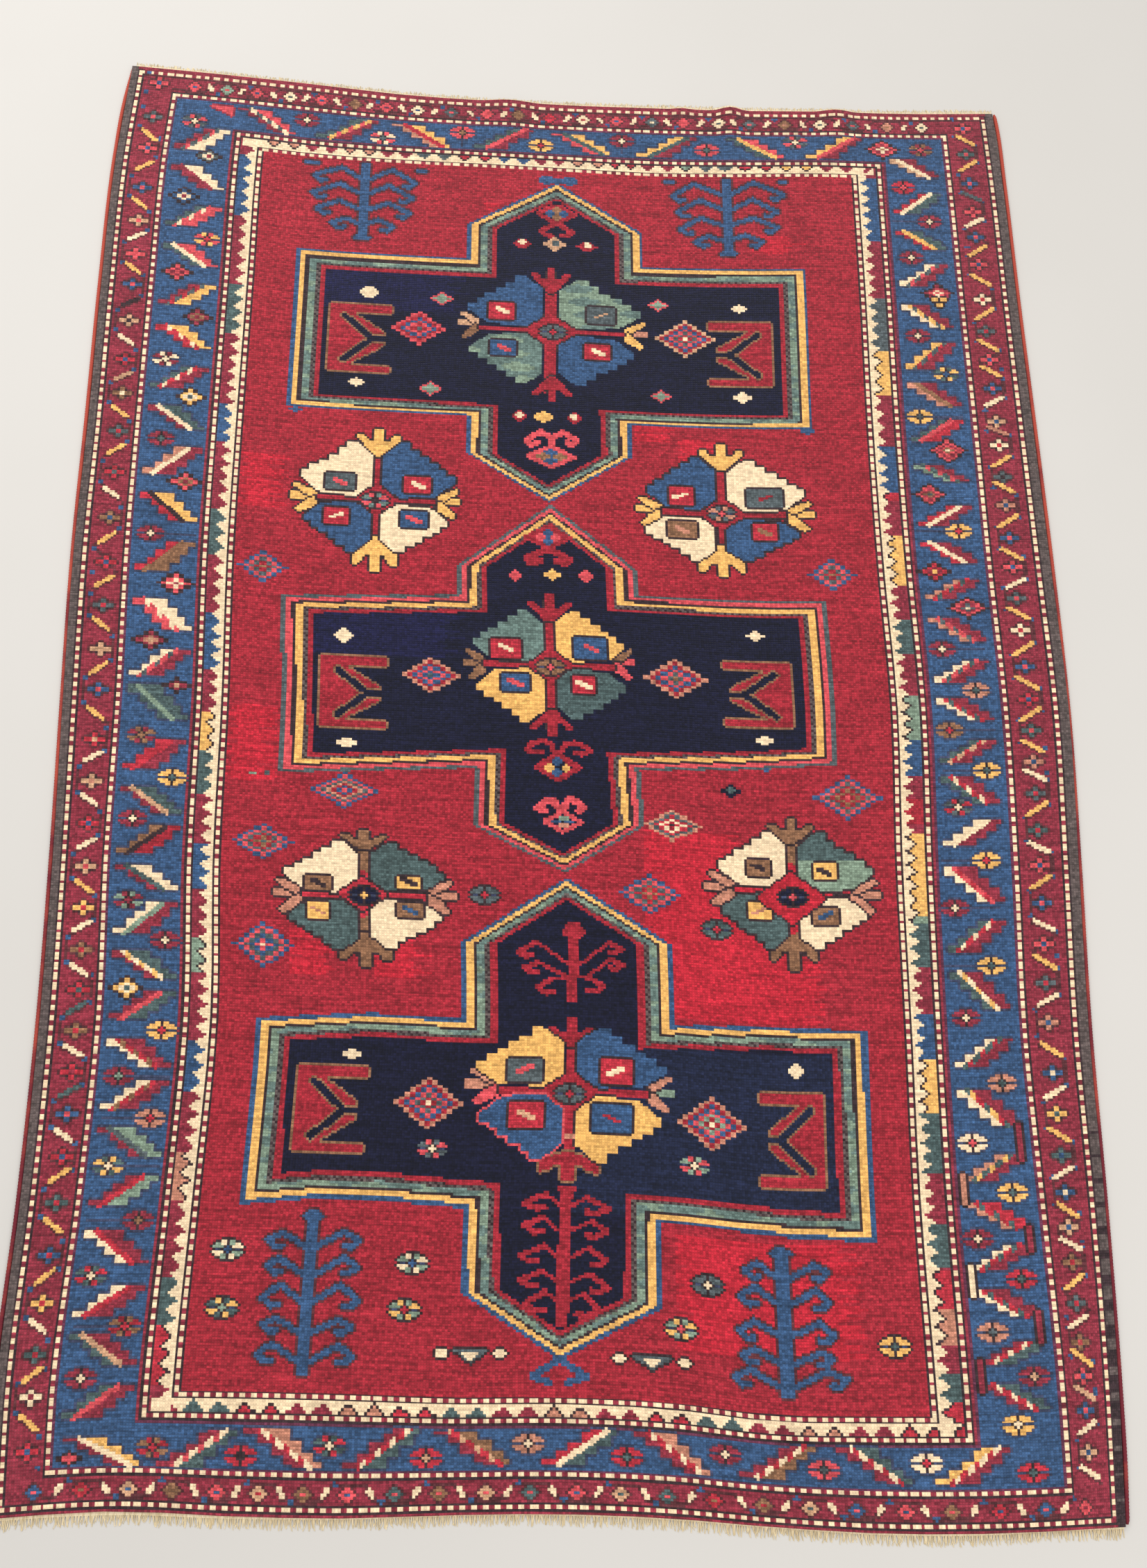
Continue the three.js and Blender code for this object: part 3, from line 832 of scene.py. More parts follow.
# Third medallion: a small tree above its palmette and a taller one below it.
tie("M", inside([(195, 190), (199, 190), (200.2, 217), (196.3, 217)]))
tie("M", inside([(193.6, 218), (196.3, 216), (200, 215.8), (203, 218.8), (200.6, 223), (196, 223)]))
tie("M", inside([(192.8, 66.3), (197.4, 66.3), (198.6, 117), (194, 117)]))
tie("M", inside([(192.3, 117), (194.2, 115.3), (198.5, 115.3), (200.2, 117.3), (196, 118.6)]))


def hooked(c0, r0, c1, r1, c2, r2, inward, hang):
    """A limb of a tree: a thin stretch up to its peak, then a hooked tip."""
    side = 1 if c2 < c1 else -1
    tie("M", stroke([(c0, r0), (c1, r1)], 1.3))
    tip = [(c2 + side * inward * 0.55, r2 - hang), (c2 + side * inward, r2 - hang * 0.8)]
    tie("M", stroke([(c1, r1), (c2, r2), *tip], 2.0))


for limb in entries(
    """196 205.3 184 214.3 177 210 5 1.6, 195 200.5 184.5 205.8 179 203.6 5 1.8,
    196 199.6 190 199.5 184 195.6 6 2.1, 200 205.3 211.5 214.8 216.8 212.7 5 1.8,
    203 200.5 212 208.3 216.8 206 5 1.8, 200 200.4 204 200 209.4 197.2 6.5 2.6,
    193.5 111 188.8 114.8 181 111.4 7.6 2, 193.5 101.5 188 106 181 103.2 7 2.8,
    193.5 91.5 188.8 95.5 180 91.8 6 2.2, 193.5 82.3 187.8 86.3 180 82.6 6 1.5,
    193 75.5 189 78.6 181.8 74.4 7 2.8, 198.5 110.7 204 113.9 212.5 109.8 9 1.6,
    198.5 101.8 205.5 105 211.3 101.6 7.5 2.4, 198 91.3 204.5 95 211 90.8 5.4 2,
    198 82.2 205 85.5 211.6 80.7 6 1.6, 197.5 75.6 202.8 78 208.4 72.4 8 2.1"""
):
    hooked(*limb)
horns(
    "b",
    "194.5 54.5, 190 51.5, 185 48.5, 191 46", "194.5 54.5, 199 51.5, 204 48.5, 197 46", width=2.4,
)


def bracket(back, row, reach, half, turn):
    """A hooked bracket, its back at a column, its two bars pointing in, cut by
    a forked slit in the dye of the ground."""
    def place(*points):
        return [(back + turn * x * reach, row + y * half) for x, y in points]

    shape = inside(place(
        (0, -1), (1, -1), (1, -0.79), (0.38, -0.79), (0.38, -0.7), (0.87, -0.2), (0.87, -0.07),
        (0.68, 0), (0.87, 0.07), (0.87, 0.2), (0.42, 0.68), (0.4, 0.78), (1, 0.78), (1, 1), (0, 1),
    ))
    tie("M", shape, "o")
    slit = stroke(place((0.24, 0.64), (0.68, 0.02), (0.68, -0.02), (0.24, -0.64)), 2.5)
    slit |= stroke(place((0.66, 0), (0.9, 0)), 2.0)
    chart[grown(slit) & ~slit & shape] = LETTERS.index("o")
    chart[slit] = LETTERS.index("n")


for place in entries(
    """97 492.4 26.5 17.6 1, 285.5 492 27 16.5 -1, 99.5 319.5 26 16 1, 284.8 326.3 27 14.8 -1,
    95.2 145.2 25.5 16.5 1, 292.5 141 24 18 -1"""
):
    bracket(*place)
for place in entries(
    """134.6 499.3 23 17.7 cMbcMl, 248 500 26 20 uMbclMv, 142.4 329 23.3 16.8 aMbcbl,
    239 332 25.5 19 aMbclo, 143.9 149 26.8 20.6 aMbclMv, 249.9 145.3 25.4 21.5 aMbcgMv"""
):
    lozenge(*place)
for *place, dyes in entries(
    """112.8 517 9.4 7.4 v, 271.5 516.5 9 7 v, 109.5 469.5 9 6.8 v, 272 470 8.6 6.4 v,
    144 515.5 9 6.2 gc, 236.5 517.5 9 6.2 gc, 140.5 468 8.4 6 gc, 237.5 469.5 8.4 6 gc,
    108.3 345.5 10 8 v, 109.6 296.8 9 5.4 v, 272 353.5 9 6.6 v, 273.5 305.8 9 5.4 v,
    114.5 167.2 9 5.4 v, 281.8 168 7.6 6 v"""
):
    tie(dyes[0], diamond(*place), dyes[1:])
flower(146.5, 132, "clv")
flower(243.5, 128.3, "cgv")

# Four more palmettes between the medallions, at the sides of the field.
palmette(
    """120 410.8, 118.2 122 390 432 M, 96 144 409.5 412 M, 18 15 M cek,
    120.3 432 1 9 11.5 14.4 y, 119.7 393 -1 9 14 17.3 y 0.56, 96 410.3 -1 yyy,
    144.5 410.5 1 yyy 10, 118.2 89 412.2 439 v 98.7 110.8 414.5 423.4 l \\c,
    122.2 151.7 412.2 439.5 b 131 142.5 414.5 423.5 s \\v,
    117.7 91 409.2 385 b 99 109.3 398.2 406.5 s /v,
    122 149.3 408.8 385.5 v 129.8 141.4 397.5 406.5 b \\c"""
)
palmette(
    """262 411, 260 264 396 433 M, 237 288 410 412.6 M, 19 16 M lac, 262 432.8 1 9.4 10.4 13 y,
    260.8 396 -1 9.6 13 15.4 y 0.6, 236.8 411.5 -1 yyy 11, 288.5 410.8 1 yyy 11.4,
    259.3 231 413 439 b 239.5 249.7 415.3 424 s /v,
    264.3 296 412.6 438.3 v 272.3 287.3 415.3 424 l /M,
    258.3 230 409.5 388.3 v 238.5 251 399.2 407 o \\a,
    263.5 293 409 388.5 b 273.5 284 399 406.6 s \\o"""
)
palmette(
    """118.3 231.6, 116.4 120.6 206 252 o, 95 142 230 232.6 s, 31 20 s nny,
    118.3 250.5 1 9 7 8 o, 118.7 216 -1 10 11.3 14 o 0.6, 95.2 230.4 -1 aaa 11.3,
    142.3 232.2 1 aaa 11.6, 116.3 88.5 232.2 254 v 96 106.3 233.4 239 o \\k,
    120.8 149.5 233.8 254 t 130.8 140.5 235.3 240.2 y \\k,
    116 90 229.3 208.5 t 96.5 105.5 221.3 227.6 y \\a,
    120.8 147.8 230.4 210 v 131 141 223 229.3 o \\b, 20 14"""
)
palmette(
    """283.4 238.3, 281.3 285.6 214 262 o, 261 306 239.7 242 M, 36 31 r nnc,
    283.4 261 1 9 8.5 11 o, 283 225.5 -1 9.3 13.6 17.3 o 0.6, 261.5 241 -1 aaa 12,
    305.5 239 1 aaa 12.4, 281.4 255 242.6 266 v 265.5 275 247.4 254 o \\k,
    285.8 315 240.8 265.5 e 291.5 301 245.5 252.7 y \\k,
    281.4 255.8 240 217 t 265.5 275.4 228.8 236.2 y /a,
    285.7 311.8 238.7 216.7 v 291 301.3 227.3 234.5 o /b, 28 22"""
)
for dye, r0, r1 in (("g", 240, 254), ("t", 254, 267)):
    chart[(chart == LETTERS.index("e")) & span(284, 316, r0, r1)] = LETTERS.index(dye)

# Lozenges, flowers and odd knots strewn over the red ground.
for place in entries(
    """75.5 375.5 20 14.5 bclMo, 305.5 382.5 20 15 bclMo, 110.2 276 26.5 15.5 bclaMbc,
    79.6 252.5 24 14.7 bclMot, 80.4 209.5 24 19 bclbcv, 237.3 266.3 23 13.8 alsvMk,
    306 281 27 20 bclMoMc, 228 236.3 25 17 bclMoc"""
):
    lozenge(*place)
spots(
    """260 283 8.6 6.6 nt, 74.5 281.5 4.6 3 g, 80 282.3 4.6 2.8 l, 85 453.5 7 4 b, 299 453 7 4 b,
    274.2 293.3 3 2.6 b"""
)
for place in entries(
    """164.5 233 lls, 253 223.5 tts, 75.5 91.5 vgb, 141 88.5 vgb, 76 70.3 ytg, 139.5 71.5 ygs,
    247.5 84.5 llv, 238 67.5 ygc, 314 65.5 yyt"""
):
    flower(*place)

# Two little birds at the foot of the lowest medallion.
for left, right, bottom in ((153, 173.5, 56.5), (215.5, 238.5, 55.5)):
    middle = (left + right) / 2
    for dye, half, top, low, edge in (
        ("l", middle - left - 3, 1.8, -3.4, "k"), ("v", 3.4, 0.2, -2.8, None),
    ):
        corners = (-half, top), (half, top), (0, low)
        tie(dye, inside([(middle + x, bottom + y) for x, y in corners]), edge)
    for column in (left, right):
        tie("v", oval(column, bottom, 4.5, 3.6), "k")


def blue_tree(text):
    """A blue tree: limits of its straight trunk; where its knob is; and the limbs
    as start row, peak and tip."""
    (c0, c1, r0, r1), (column, row), *limbs = entries(text)
    knob = ((-4.3, 0), (-2.2, -1.8), (2.2, -1.8), (4.3, 0), (1.8, 2), (-1.8, 2))
    wood = span(c0, c1, r0, r1) | inside([(column + x, row + y) for x, y in knob])
    for start, peak_c, peak_r, tip_c, tip_r in limbs:
        side = 1 if tip_c < c0 else -1
        wood |= stroke([((c0 + c1) / 2, start), (peak_c, peak_r), (tip_c, tip_r),
                        (tip_c + side * 3, tip_r - 2.6), (tip_c + side * 5.4, tip_r - 2)], 2.1)
    tie("b", wood, "q")


blue_tree(
    """106.8 111.2 545 588, 108.7 546.3, 577.5 98.5 584.6 86.5 579, 569.5 98.2 575.5 86.5 569.6,
    560.6 98.9 566 88.5 560.9, 553 101.5 556.2 95.5 553.6, 577.5 120.6 584.8 131 578,
    569.5 119.5 575.9 130 569.5, 561 119.1 566 129 561, 553 115.5 556.6 122.3 553.2"""
)
blue_tree(
    """265.6 270 545 588, 267.8 546.3, 578 253.5 585.2 243.5 578, 570 256 576 245.8 569.3,
    561 256 566 246.8 559.6, 552.5 259.5 555.8 253.5 552.8, 578 280 585.8 293.3 578.8,
    569.5 279.3 576.4 290 569.5, 561.5 279.3 566 290 560.8, 553 275.3 556.6 283 553"""
)
blue_tree(
    """103 107.2 46.5 104, 105 104.8, 92 94.5 98.2 89.3 95.3, 82 94 88.7 89.5 86,
    72 95 79.3 89.3 74.2, 60.8 95 67 90 64.8, 50.8 93.7 58 89 54.2, 92.3 116.3 99 122.4 95.9,
    82 117 89.5 122 86.3, 72 116.5 79.6 123 74.2, 61 116.5 67 121.3 64.8, 50.6 117 58 122 54.2"""
)
blue_tree(
    """272.4 276.6 46.5 98, 274.4 98.6, 88 265.5 94.7 260.8 91.7, 79 264 86.2 259.2 82,
    68 263.6 73.6 258 69.6, 58 263.3 63.6 258.8 61.2, 49.6 262 56 255.6 53.2,
    88 286.2 94.7 291.2 92.1, 79 286.8 85.5 291 81.2, 68 287 73.6 292.2 69.4, 58 287 63 291 61.2,
    49.6 289 56.5 295.8 53.7"""
)
for limits in entries(
    "82.4 88.6 584.6 586.6, 130.5 136 584.2 586.4, 240 245 585 587, 290.5 295.5 585 587"
):
    tie("b", span(*limits), "q")

# Changes of dye lot, with ragged edges: indigo for navy in arms of the first
# two medallions, a brighter madder in parts of the red ground.
ragged = 3 * np.sin(row_at * 1.9) + 2.4 * np.sin(row_at * 0.77 + 1) + 1.5 * np.sin(column_at * 0.6)
for lots, c0, c1, r0, r1 in entries(
    """ni 84 150 508 530, ni 84 150 337 360, nd 198 300 108 174, Mr 226 292 186 250,
    Mr 64 82 278 312, Mr 236 300 60 102, Mr 226 240 446 456, Mr 90 104 198 217,
    Mr 122 138 198 219, Mr 64 80 404 430, Mr 244 258 436 448, Mr 278 296 546 556,
    Mr 161 164 565 569, Mr 226 262 250 264"""
):
    reached = span(c0, 400, r0, r1) & (column_at + ragged < c1) & (column_at - ragged > c0)
    chart[reached & (chart == LETTERS.index(lots[0]))] = LETTERS.index(lots[1])


# The wool: each knot is its own little tuft, so it takes the dye a little
# differently from its neighbours, and each batch of yarn makes a streak.

def dyed_wool(name, colour):
    """Hand-spun sheep's wool, dyed in the hank and cut as a short pile: matt, a
    little fuzzy, never one even tone. Each knot shows as a round tuft, with
    painted shade darkening it towards its edges."""
    wool, tree, shader = new_material(name)
    knots = add_node(tree, "ShaderNodeUVMap", {"uv_map": "knots"})
    place = add_node(tree, "ShaderNodeTexCoord").outputs["Object"]
    whole = add_node(tree, "ShaderNodeVectorMath", {"operation": "FLOOR"}, {0: knots.outputs[0]})
    tuft = add_node(
        tree, "ShaderNodeTexWhiteNoise", {"noise_dimensions": "2D"}, Vector=whole.outputs[0]
    )

    def drawn_out(across, along, detail):
        """Noise over the knots, stretched along their rows."""
        stretched = add_node(
            tree, "ShaderNodeMapping", inputs={"Scale": (across, along, 1)}, Vector=knots.outputs[0]
        )
        return noise(tree, 1, detail, 0.6, stretched.outputs[0])

    streak, fleck = drawn_out(0.045, 0.75, 4), drawn_out(0.4, 1.3, 2)
    patch = noise(tree, 14, 3, 0.6, place)
    parts = add_node(tree, "ShaderNodeSeparateXYZ", Vector=knots.outputs[0])

    def tuft_profile(socket, sharp):
        """1 in the middle of a knot and 0 at its edge."""
        share = add_node(tree, "ShaderNodeMath", {"operation": "PINGPONG"}, {0: socket, 1: 0.5})
        return add_node(
            tree, "ShaderNodeMapRange", {"interpolation_type": "SMOOTHSTEP"},
            {"Value": share.outputs[0], "From Min": 0, "From Max": sharp},
        ).outputs[0]

    across, along = tuft_profile(parts.outputs[0], 0.3), tuft_profile(parts.outputs[1], 0.36)
    tuft_height = add_node(
        tree, "ShaderNodeMath", {"operation": "MULTIPLY"}, {0: across, 1: along}
    ).outputs[0]

    # Pale yarn hides the unevenness that deep dyes show.
    depth = 1.1 - 0.9 * sum(linear(colour)[:3]) / 3
    light = 1.0
    # Each knot's brightness comes from its own tone, streaks and flecks along the rows, and soft
    # patches. The last entry is painted shade: it darkens each tuft from its middle to its edge.
    for socket, spread, middle in (
        (tuft.outputs["Value"], 0.36, 1), (streak, 0.9, 1), (fleck, 0.55, 1), (patch, 0.2, 1),
        (tuft_height, 0.12, 0.98),
    ):
        low, high = middle - spread * depth, middle + spread * depth
        share = add_node(
            tree, "ShaderNodeMapRange", inputs={"Value": socket, "To Min": low, "To Max": high}
        )
        light = add_node(
            tree, "ShaderNodeMath", {"operation": "MULTIPLY"}, {0: light, 1: share.outputs[0]}
        ).outputs[0]
    tinted = add_node(
        tree, "ShaderNodeHueSaturation", inputs={"Color": linear(colour), "Value": light}
    )
    fibres = noise(tree, 900, 2, 0.7, place)
    pile_height = add_node(
        tree, "ShaderNodeMath", {"operation": "MULTIPLY_ADD"}, {0: fibres, 1: 0.45, 2: tuft_height}
    )
    relief = 0.6, 0.0012, pile_height.outputs[0]
    finish_surface(tree, shader, tinted.outputs[0], 0.95, 0.15, relief)
    shader.inputs["Sheen Weight"].default_value = 0.12
    shader.inputs["Sheen Roughness"].default_value = 0.6
    return wool


# The sheet of pile: a flat grid of knots, joined where neighbours share a dye,
# then laid where the rug's uneven edges and its low ripples put each knot.

PILE_TOP, BACK_TOP = 0.0065, 0.0018  # height of the two layers over the floor
RUG_MIDDLE = (0.002275, 0.001186)  # the rug's box is centred on the frame
KNOT_MM = (4.04, 3.66)  # one column and one row on the even loom
LEVELS = (-1150, -1000, -750, -500, -250, 0, 250, 500, 750, 1000, 1150)
COLUMN_STATIONS = {  # column: where it lies across the rug, at each level up it, in mm
    0: (-772.6, -779.6, -774.3, -774.8, -781.6, -792.8, -801.6, -801.9, -805.6, -804.6, -795.6),
    20: (-699, -705.4, -695.2, -692, -704.3, -710, -719.8, -722.8, -724, -723.5, -715),
    62: (-532, -534.3, -527.2, -520.7, -535.7, -541.3, -551.3, -553.5, -554, -555.2, -551),
    326: (533, 529, 521.5, 523, 523.3, 529.6, 520, 515.4, 515.4, 512.8, 512),
    372: (716, 717.2, 709.6, 702.6, 709.6, 712.8, 704.8, 699, 692.2, 686, 681),
    396: (789.1, 795.6, 799.6, 798.9, 806.5, 813.5, 805.4, 796.6, 788, 780.4, 772.6),
}
ACROSS = (-800, -600, -450, -300, -150, 0, 150, 300, 450, 600, 800)
ROW_STATIONS = {  # row: where it lies along the rug, at each place across it, in mm
    0: (-1162, -1151.4, -1158, -1161.4, -1158, -1157.3, -1163, -1174.8, -1183.2, -1184, -1176),
    39.5: (-1011, -1007, -1008, -1011.4, -1016, -1016, -1022.6, -1038.9, -1041.5, -1041.5, -1036),
    591: (1043, 1031, 1016.5, 1010, 1006.8, 1002.6, 999, 1003, 1009, 1009, 1015),
    628: (1191, 1175.7, 1162, 1147.3, 1141, 1136.7, 1136.4, 1137, 1141, 1142, 1150),
}
END_STATIONS = (-800, -700, -600, -450, -300, -150, 0, 150, 300, 450, 600, 700, 800)
TOP_EDGE = (1190, 1183, 1174, 1160, 1147, 1139, 1136, 1136, 1137, 1140, 1142, 1146, 1150)
# Ripples: middle, rise, half width and how far each reaches in from the upper edge.
BUCKLES = ((-112, 5.5, 62, 120), (200, 3, 26, 75), (288, 9, 34, 115), (482, 6, 44, 100))


def curve_through(stations, values, at):
    """A smooth curve through measured values, each slope taken from its neighbours."""
    x, y = np.asarray(stations, float), np.asarray(values, float)
    slope = np.gradient(y, x)
    cell = np.clip(np.searchsorted(x, at) - 1, 0, len(x) - 2)
    gap = x[cell + 1] - x[cell]
    t = np.clip((at - x[cell]) / gap, -0.4, 1.4)
    return (
        (2 * t**3 - 3 * t**2 + 1) * y[cell] + (t**3 - 2 * t**2 + t) * gap * slope[cell]
        + (3 * t**2 - 2 * t**3) * y[cell + 1] + (t**3 - t**2) * gap * slope[cell + 1]
    )


def between(table, stations, key, at):
    """The value at a column or row between the measured ones, station by station."""
    keys = sorted(table)
    lines = np.array([curve_through(stations, table[k], at) for k in keys])
    cell = np.clip(np.searchsorted(keys, key) - 1, 0, len(keys) - 2)
    low, high = np.array(keys, float)[cell], np.array(keys, float)[cell + 1]
    share = (key - low) / (high - low)
    pick = np.arange(len(at))
    return lines[cell, pick] * (1 - share) + lines[cell + 1, pick] * share


def ripple_at(x, y):
    """How high a ripple of the slack upper end lifts the cloth, all in mm."""
    x = np.asarray(x, float)
    lift = np.zeros(x.shape)
    for middle, rise, half_width, reach in BUCKLES:
        aside = np.clip(np.abs(x - middle) / half_width, 0, 1)
        inward = np.clip((curve_through(END_STATIONS, TOP_EDGE, x) - y) / reach, 0, 1)
        lift += rise * (0.5 + 0.5 * np.cos(np.pi * aside)) * (1 - inward) ** 1.5
    return lift


def laid(column, row):
    """Where knots lie on the floor, and how high a ripple lifts them, in metres."""
    x, y = (column - COLUMNS / 2) * KNOT_MM[0], (row - ROWS / 2) * KNOT_MM[1]
    for _ in range(8):  # each look-up needs the other's answer, so they close in
        x, y = between(COLUMN_STATIONS, LEVELS, column, y), between(ROW_STATIONS, ACROSS, row, x)
    return x / 1000 - RUG_MIDDLE[0], y / 1000 - RUG_MIDDLE[1], ripple_at(x, y) / 1000


def knotted_sheet(dyes):
    """A bmesh sheet of all the knots, in which neighbours of one dye are joined."""
    bm = bmesh.new()
    bmesh.ops.create_grid(bm, x_segments=COLUMNS, y_segments=ROWS, size=0.5)
    grid = bpy.data.meshes.new("grid")
    bm.to_mesh(grid)
    bm.clear()
    grid.polygons.foreach_set("material_index", dyes.ravel().astype(np.int32))
    place = np.empty(len(grid.vertices) * 3)
    grid.vertices.foreach_get("co", place)
    ends = np.empty(len(grid.edges) * 2, int)
    grid.edges.foreach_get("vertices", ends)
    count = (place.reshape(-1, 3)[:, :2] + 0.5) * (COLUMNS, ROWS)
    first, second = count[ends[::2]], count[ends[1::2]]
    line = np.round(np.where(np.abs(first[:, 0] - second[:, 0]) < 0.5, first[:, 0], first[:, 1]))
    # Cuts that keep the joined faces small enough to bend: closer in the ripples.
    rippled = (first[:, 1] > 588) & (first[:, 0] > 140) & (first[:, 0] < 345)
    grid.edges.foreach_set("use_seam", np.where(rippled, line % 3, line % 20) == 0)
    bm.from_mesh(grid)
    bpy.data.meshes.remove(grid)
    bmesh.ops.dissolve_limit(
        bm, angle_limit=0.01, use_dissolve_boundaries=False, verts=bm.verts, edges=bm.edges,
        delimit={"MATERIAL", "SEAM"},
    )
    bmesh.ops.triangulate(bm, faces=bm.faces, quad_method="BEAUTY", ngon_method="BEAUTY")
    return bm


def ripple_slope(x, y):
    """The upward direction of the cloth at a place in mm, from its ripples."""
    gap = 0.5
    dx = (ripple_at(x + gap, y) - ripple_at(x - gap, y)) / (2 * gap)
    dy = (ripple_at(x, y + gap) - ripple_at(x, y - gap)) / (2 * gap)
    up = np.column_stack((-dx, -dy, np.ones(len(x))))
    return up / np.linalg.norm(up, axis=1)[:, None]


def cloth(name, pattern_up):
    """One closed layer of the rug: the knots' pattern on its upper or its under
    side, a plain hidden face on the other, and a narrow edge all round."""
    shown = knotted_sheet(chart)
    side_band = (column_at < 2.9) | (column_at > 392.4)
    hidden = knotted_sheet(np.where(side_band, chart, LETTERS.index("M")))
    bmesh.ops.translate(shown, verts=shown.verts, vec=(0, 0, 1 if pattern_up else -1))
    hidden_mesh = finished(hidden, "hidden")
    rim = [e for e in shown.edges if e.is_boundary]
    sides = bmesh.ops.extrude_edge_only(shown, edges=rim)
    lower = [v for v in sides["geom"] if isinstance(v, bmesh.types.BMVert)]
    bmesh.ops.translate(shown, verts=lower, vec=(0, 0, -1 if pattern_up else 1))
    shown.from_mesh(hidden_mesh)
    bpy.data.meshes.remove(hidden_mesh)
    bmesh.ops.remove_doubles(shown, verts=[v for v in shown.verts if v.co.z == 0], dist=1e-5)
    bmesh.ops.recalc_face_normals(shown, faces=shown.faces)
    return finished(shown, name)


def lay(mesh, low, high):
    """Lays a flat layer of knots where the rug lies and returns the counts from which
    its two maps are made: the knots' own, one unit a knot, and one that fills the
    square once."""
    grid = np.empty(len(mesh.vertices) * 3)
    mesh.vertices.foreach_get("co", grid)
    grid = grid.reshape(-1, 3)
    count_across, count_along = (grid[:, 0] + 0.5) * COLUMNS, (grid[:, 1] + 0.5) * ROWS
    level = grid[:, 2] - grid[:, 2].min()
    x, y, lift = laid(
        np.interp(count_across, np.arange(COLUMNS + 1), column_edge),
        np.interp(count_along, np.arange(ROWS + 1), row_edge),
    )
    up = ripple_slope((x + RUG_MIDDLE[0]) * 1000, (y + RUG_MIDDLE[1]) * 1000)
    z = np.where(level > 0.5, high, low) + lift
    mesh.vertices.foreach_set("co", np.column_stack((x, y, z)).ravel())
    corner = np.empty(len(mesh.loops), int)
    mesh.loops.foreach_get("vertex_index", corner)
    faces = len(mesh.polygons)
    starts = np.empty(faces, int)
    mesh.polygons.foreach_get("loop_start", starts)
    totals = np.empty(faces, int)
    mesh.polygons.foreach_get("loop_total", totals)
    face_of = np.repeat(np.arange(faces), totals)
    mesh.update()
    normals = np.empty(faces * 3)
    mesh.polygons.foreach_get("normal", normals)
    normals = normals.reshape(-1, 3)
    return corner, face_of, normals, up, count_across, count_along


def rug_layer(name, low, high, pattern_up):
    """One layer of the rug as a finished piece, from its grid of knots."""
    mesh = cloth(name, pattern_up)
    corner, face_of, normals, up, across, along = lay(mesh, low, high)
    flat_up, flat_down = normals[face_of, 2] > 0.5, normals[face_of, 2] < -0.5
    shading = np.where(
        flat_up[:, None], up[corner], np.where(flat_down[:, None], -up[corner], normals[face_of])
    )
    knots = mesh.uv_layers.new(name="knots")
    knots.data.foreach_set("uv", np.column_stack((across[corner], along[corner])).ravel())
    hidden = flat_down if pattern_up else flat_up
    u, v = across[corner] / COLUMNS, 0.02 + 0.98 * along[corner] / ROWS
    v = np.where(hidden, 0.015 * along[corner] / ROWS, v)
    whole = mesh.uv_layers.new(name="OFBake")
    whole.data.foreach_set("uv", np.column_stack((u, v)).ravel())
    mesh.shade_smooth()
    mesh.normals_split_custom_set(shading)
    for wool in wools:
        mesh.materials.append(wool)
    return new_piece(name, mesh)


wools = [dyed_wool(f"wool, {name}", colour) for name, colour in DYES.values()]
pile = rug_layer("knotted_pile", BACK_TOP, PILE_TOP, True)
back = rug_layer("woven_back", 0, BACK_TOP, False)
for piece in (pile, back):
    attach(piece, "root")
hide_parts("rug")


# ---------------------------------------------------------------------------
# The side cords: the outermost warps of each side, wrapped over and over with
# red-orange wool as the rug was woven, so that each is a round ribbed edge.

CORD_WIDTH, CORD_HEIGHT = 0.007, 0.006
CORD_SIDES = 10
WRAP = 0.0046  # one turn of the wrapping yarn along the cord
THREAD = 0.0012  # one thread of that yarn
RINGS_PER_WRAP = 2
NOTCH = 0.16  # how much thinner the cord is between two turns
SIDE_LEVELS = (-1180, -1100, -1000, -750, -500, -250, 0, 250, 500, 750, 1000, 1120, 1185)
SIDE_FACES = {  # the outer face of each cord at those levels, in mm
    "side_cord_left": (
        -777, -785, -788, -782, -782, -789, -799, -808, -810, -813, -812, -805, -796,
    ),
    "side_cord_right": (795, 800, 803, 806, 806, 813, 818, 813, 805, 796, 789, 784, 776),
}


def two_tones(tree, share, first, dark, second, pale):
    """A colour that runs from a dark tone at the first share to a pale one at the
    second."""
    tones = add_node(tree, "ShaderNodeValToRGB", {}, {0: share})
    ends = zip(tones.color_ramp.elements, (first, second), (dark, pale))
    for element, position, colour in ends:
        element.position, element.color = position, linear(colour)
    return tones.outputs[0]


def overcast_wool():
    """Two-ply wool wrapped round the edge: matt, its threads side by side, maroon
    at the foot of the rug and red-orange higher up."""
    wool, tree, shader = new_material("overcast wool, red-orange")
    place = add_node(tree, "ShaderNodeTexCoord").outputs["Object"]
    height = add_node(tree, "ShaderNodeSeparateXYZ", Vector=place)
    lots = add_node(
        tree, "ShaderNodeMath", {"operation": "MULTIPLY_ADD"},
        {0: height.outputs[1], 1: 0.2, 2: noise(tree, 11, 4, 0.7, place)},
    )
    dyes = two_tones(tree, lots.outputs[0], 0.32, "6E2630", 0.62, "AE4A3C")
    threads = add_node(
        tree, "ShaderNodeTexWave",
        {"wave_type": "BANDS", "bands_direction": "Y", "wave_profile": "SIN"},
        {"Scale": 0.5 / (6.283 * THREAD), "Distortion": 1.5, "Detail": 2, "Detail Scale": 3},
        Vector=place,
    )
    finish_surface(tree, shader, dyes, 0.9, 0.2, (0.5, 0.0006, threads.outputs[0]))
    return wool


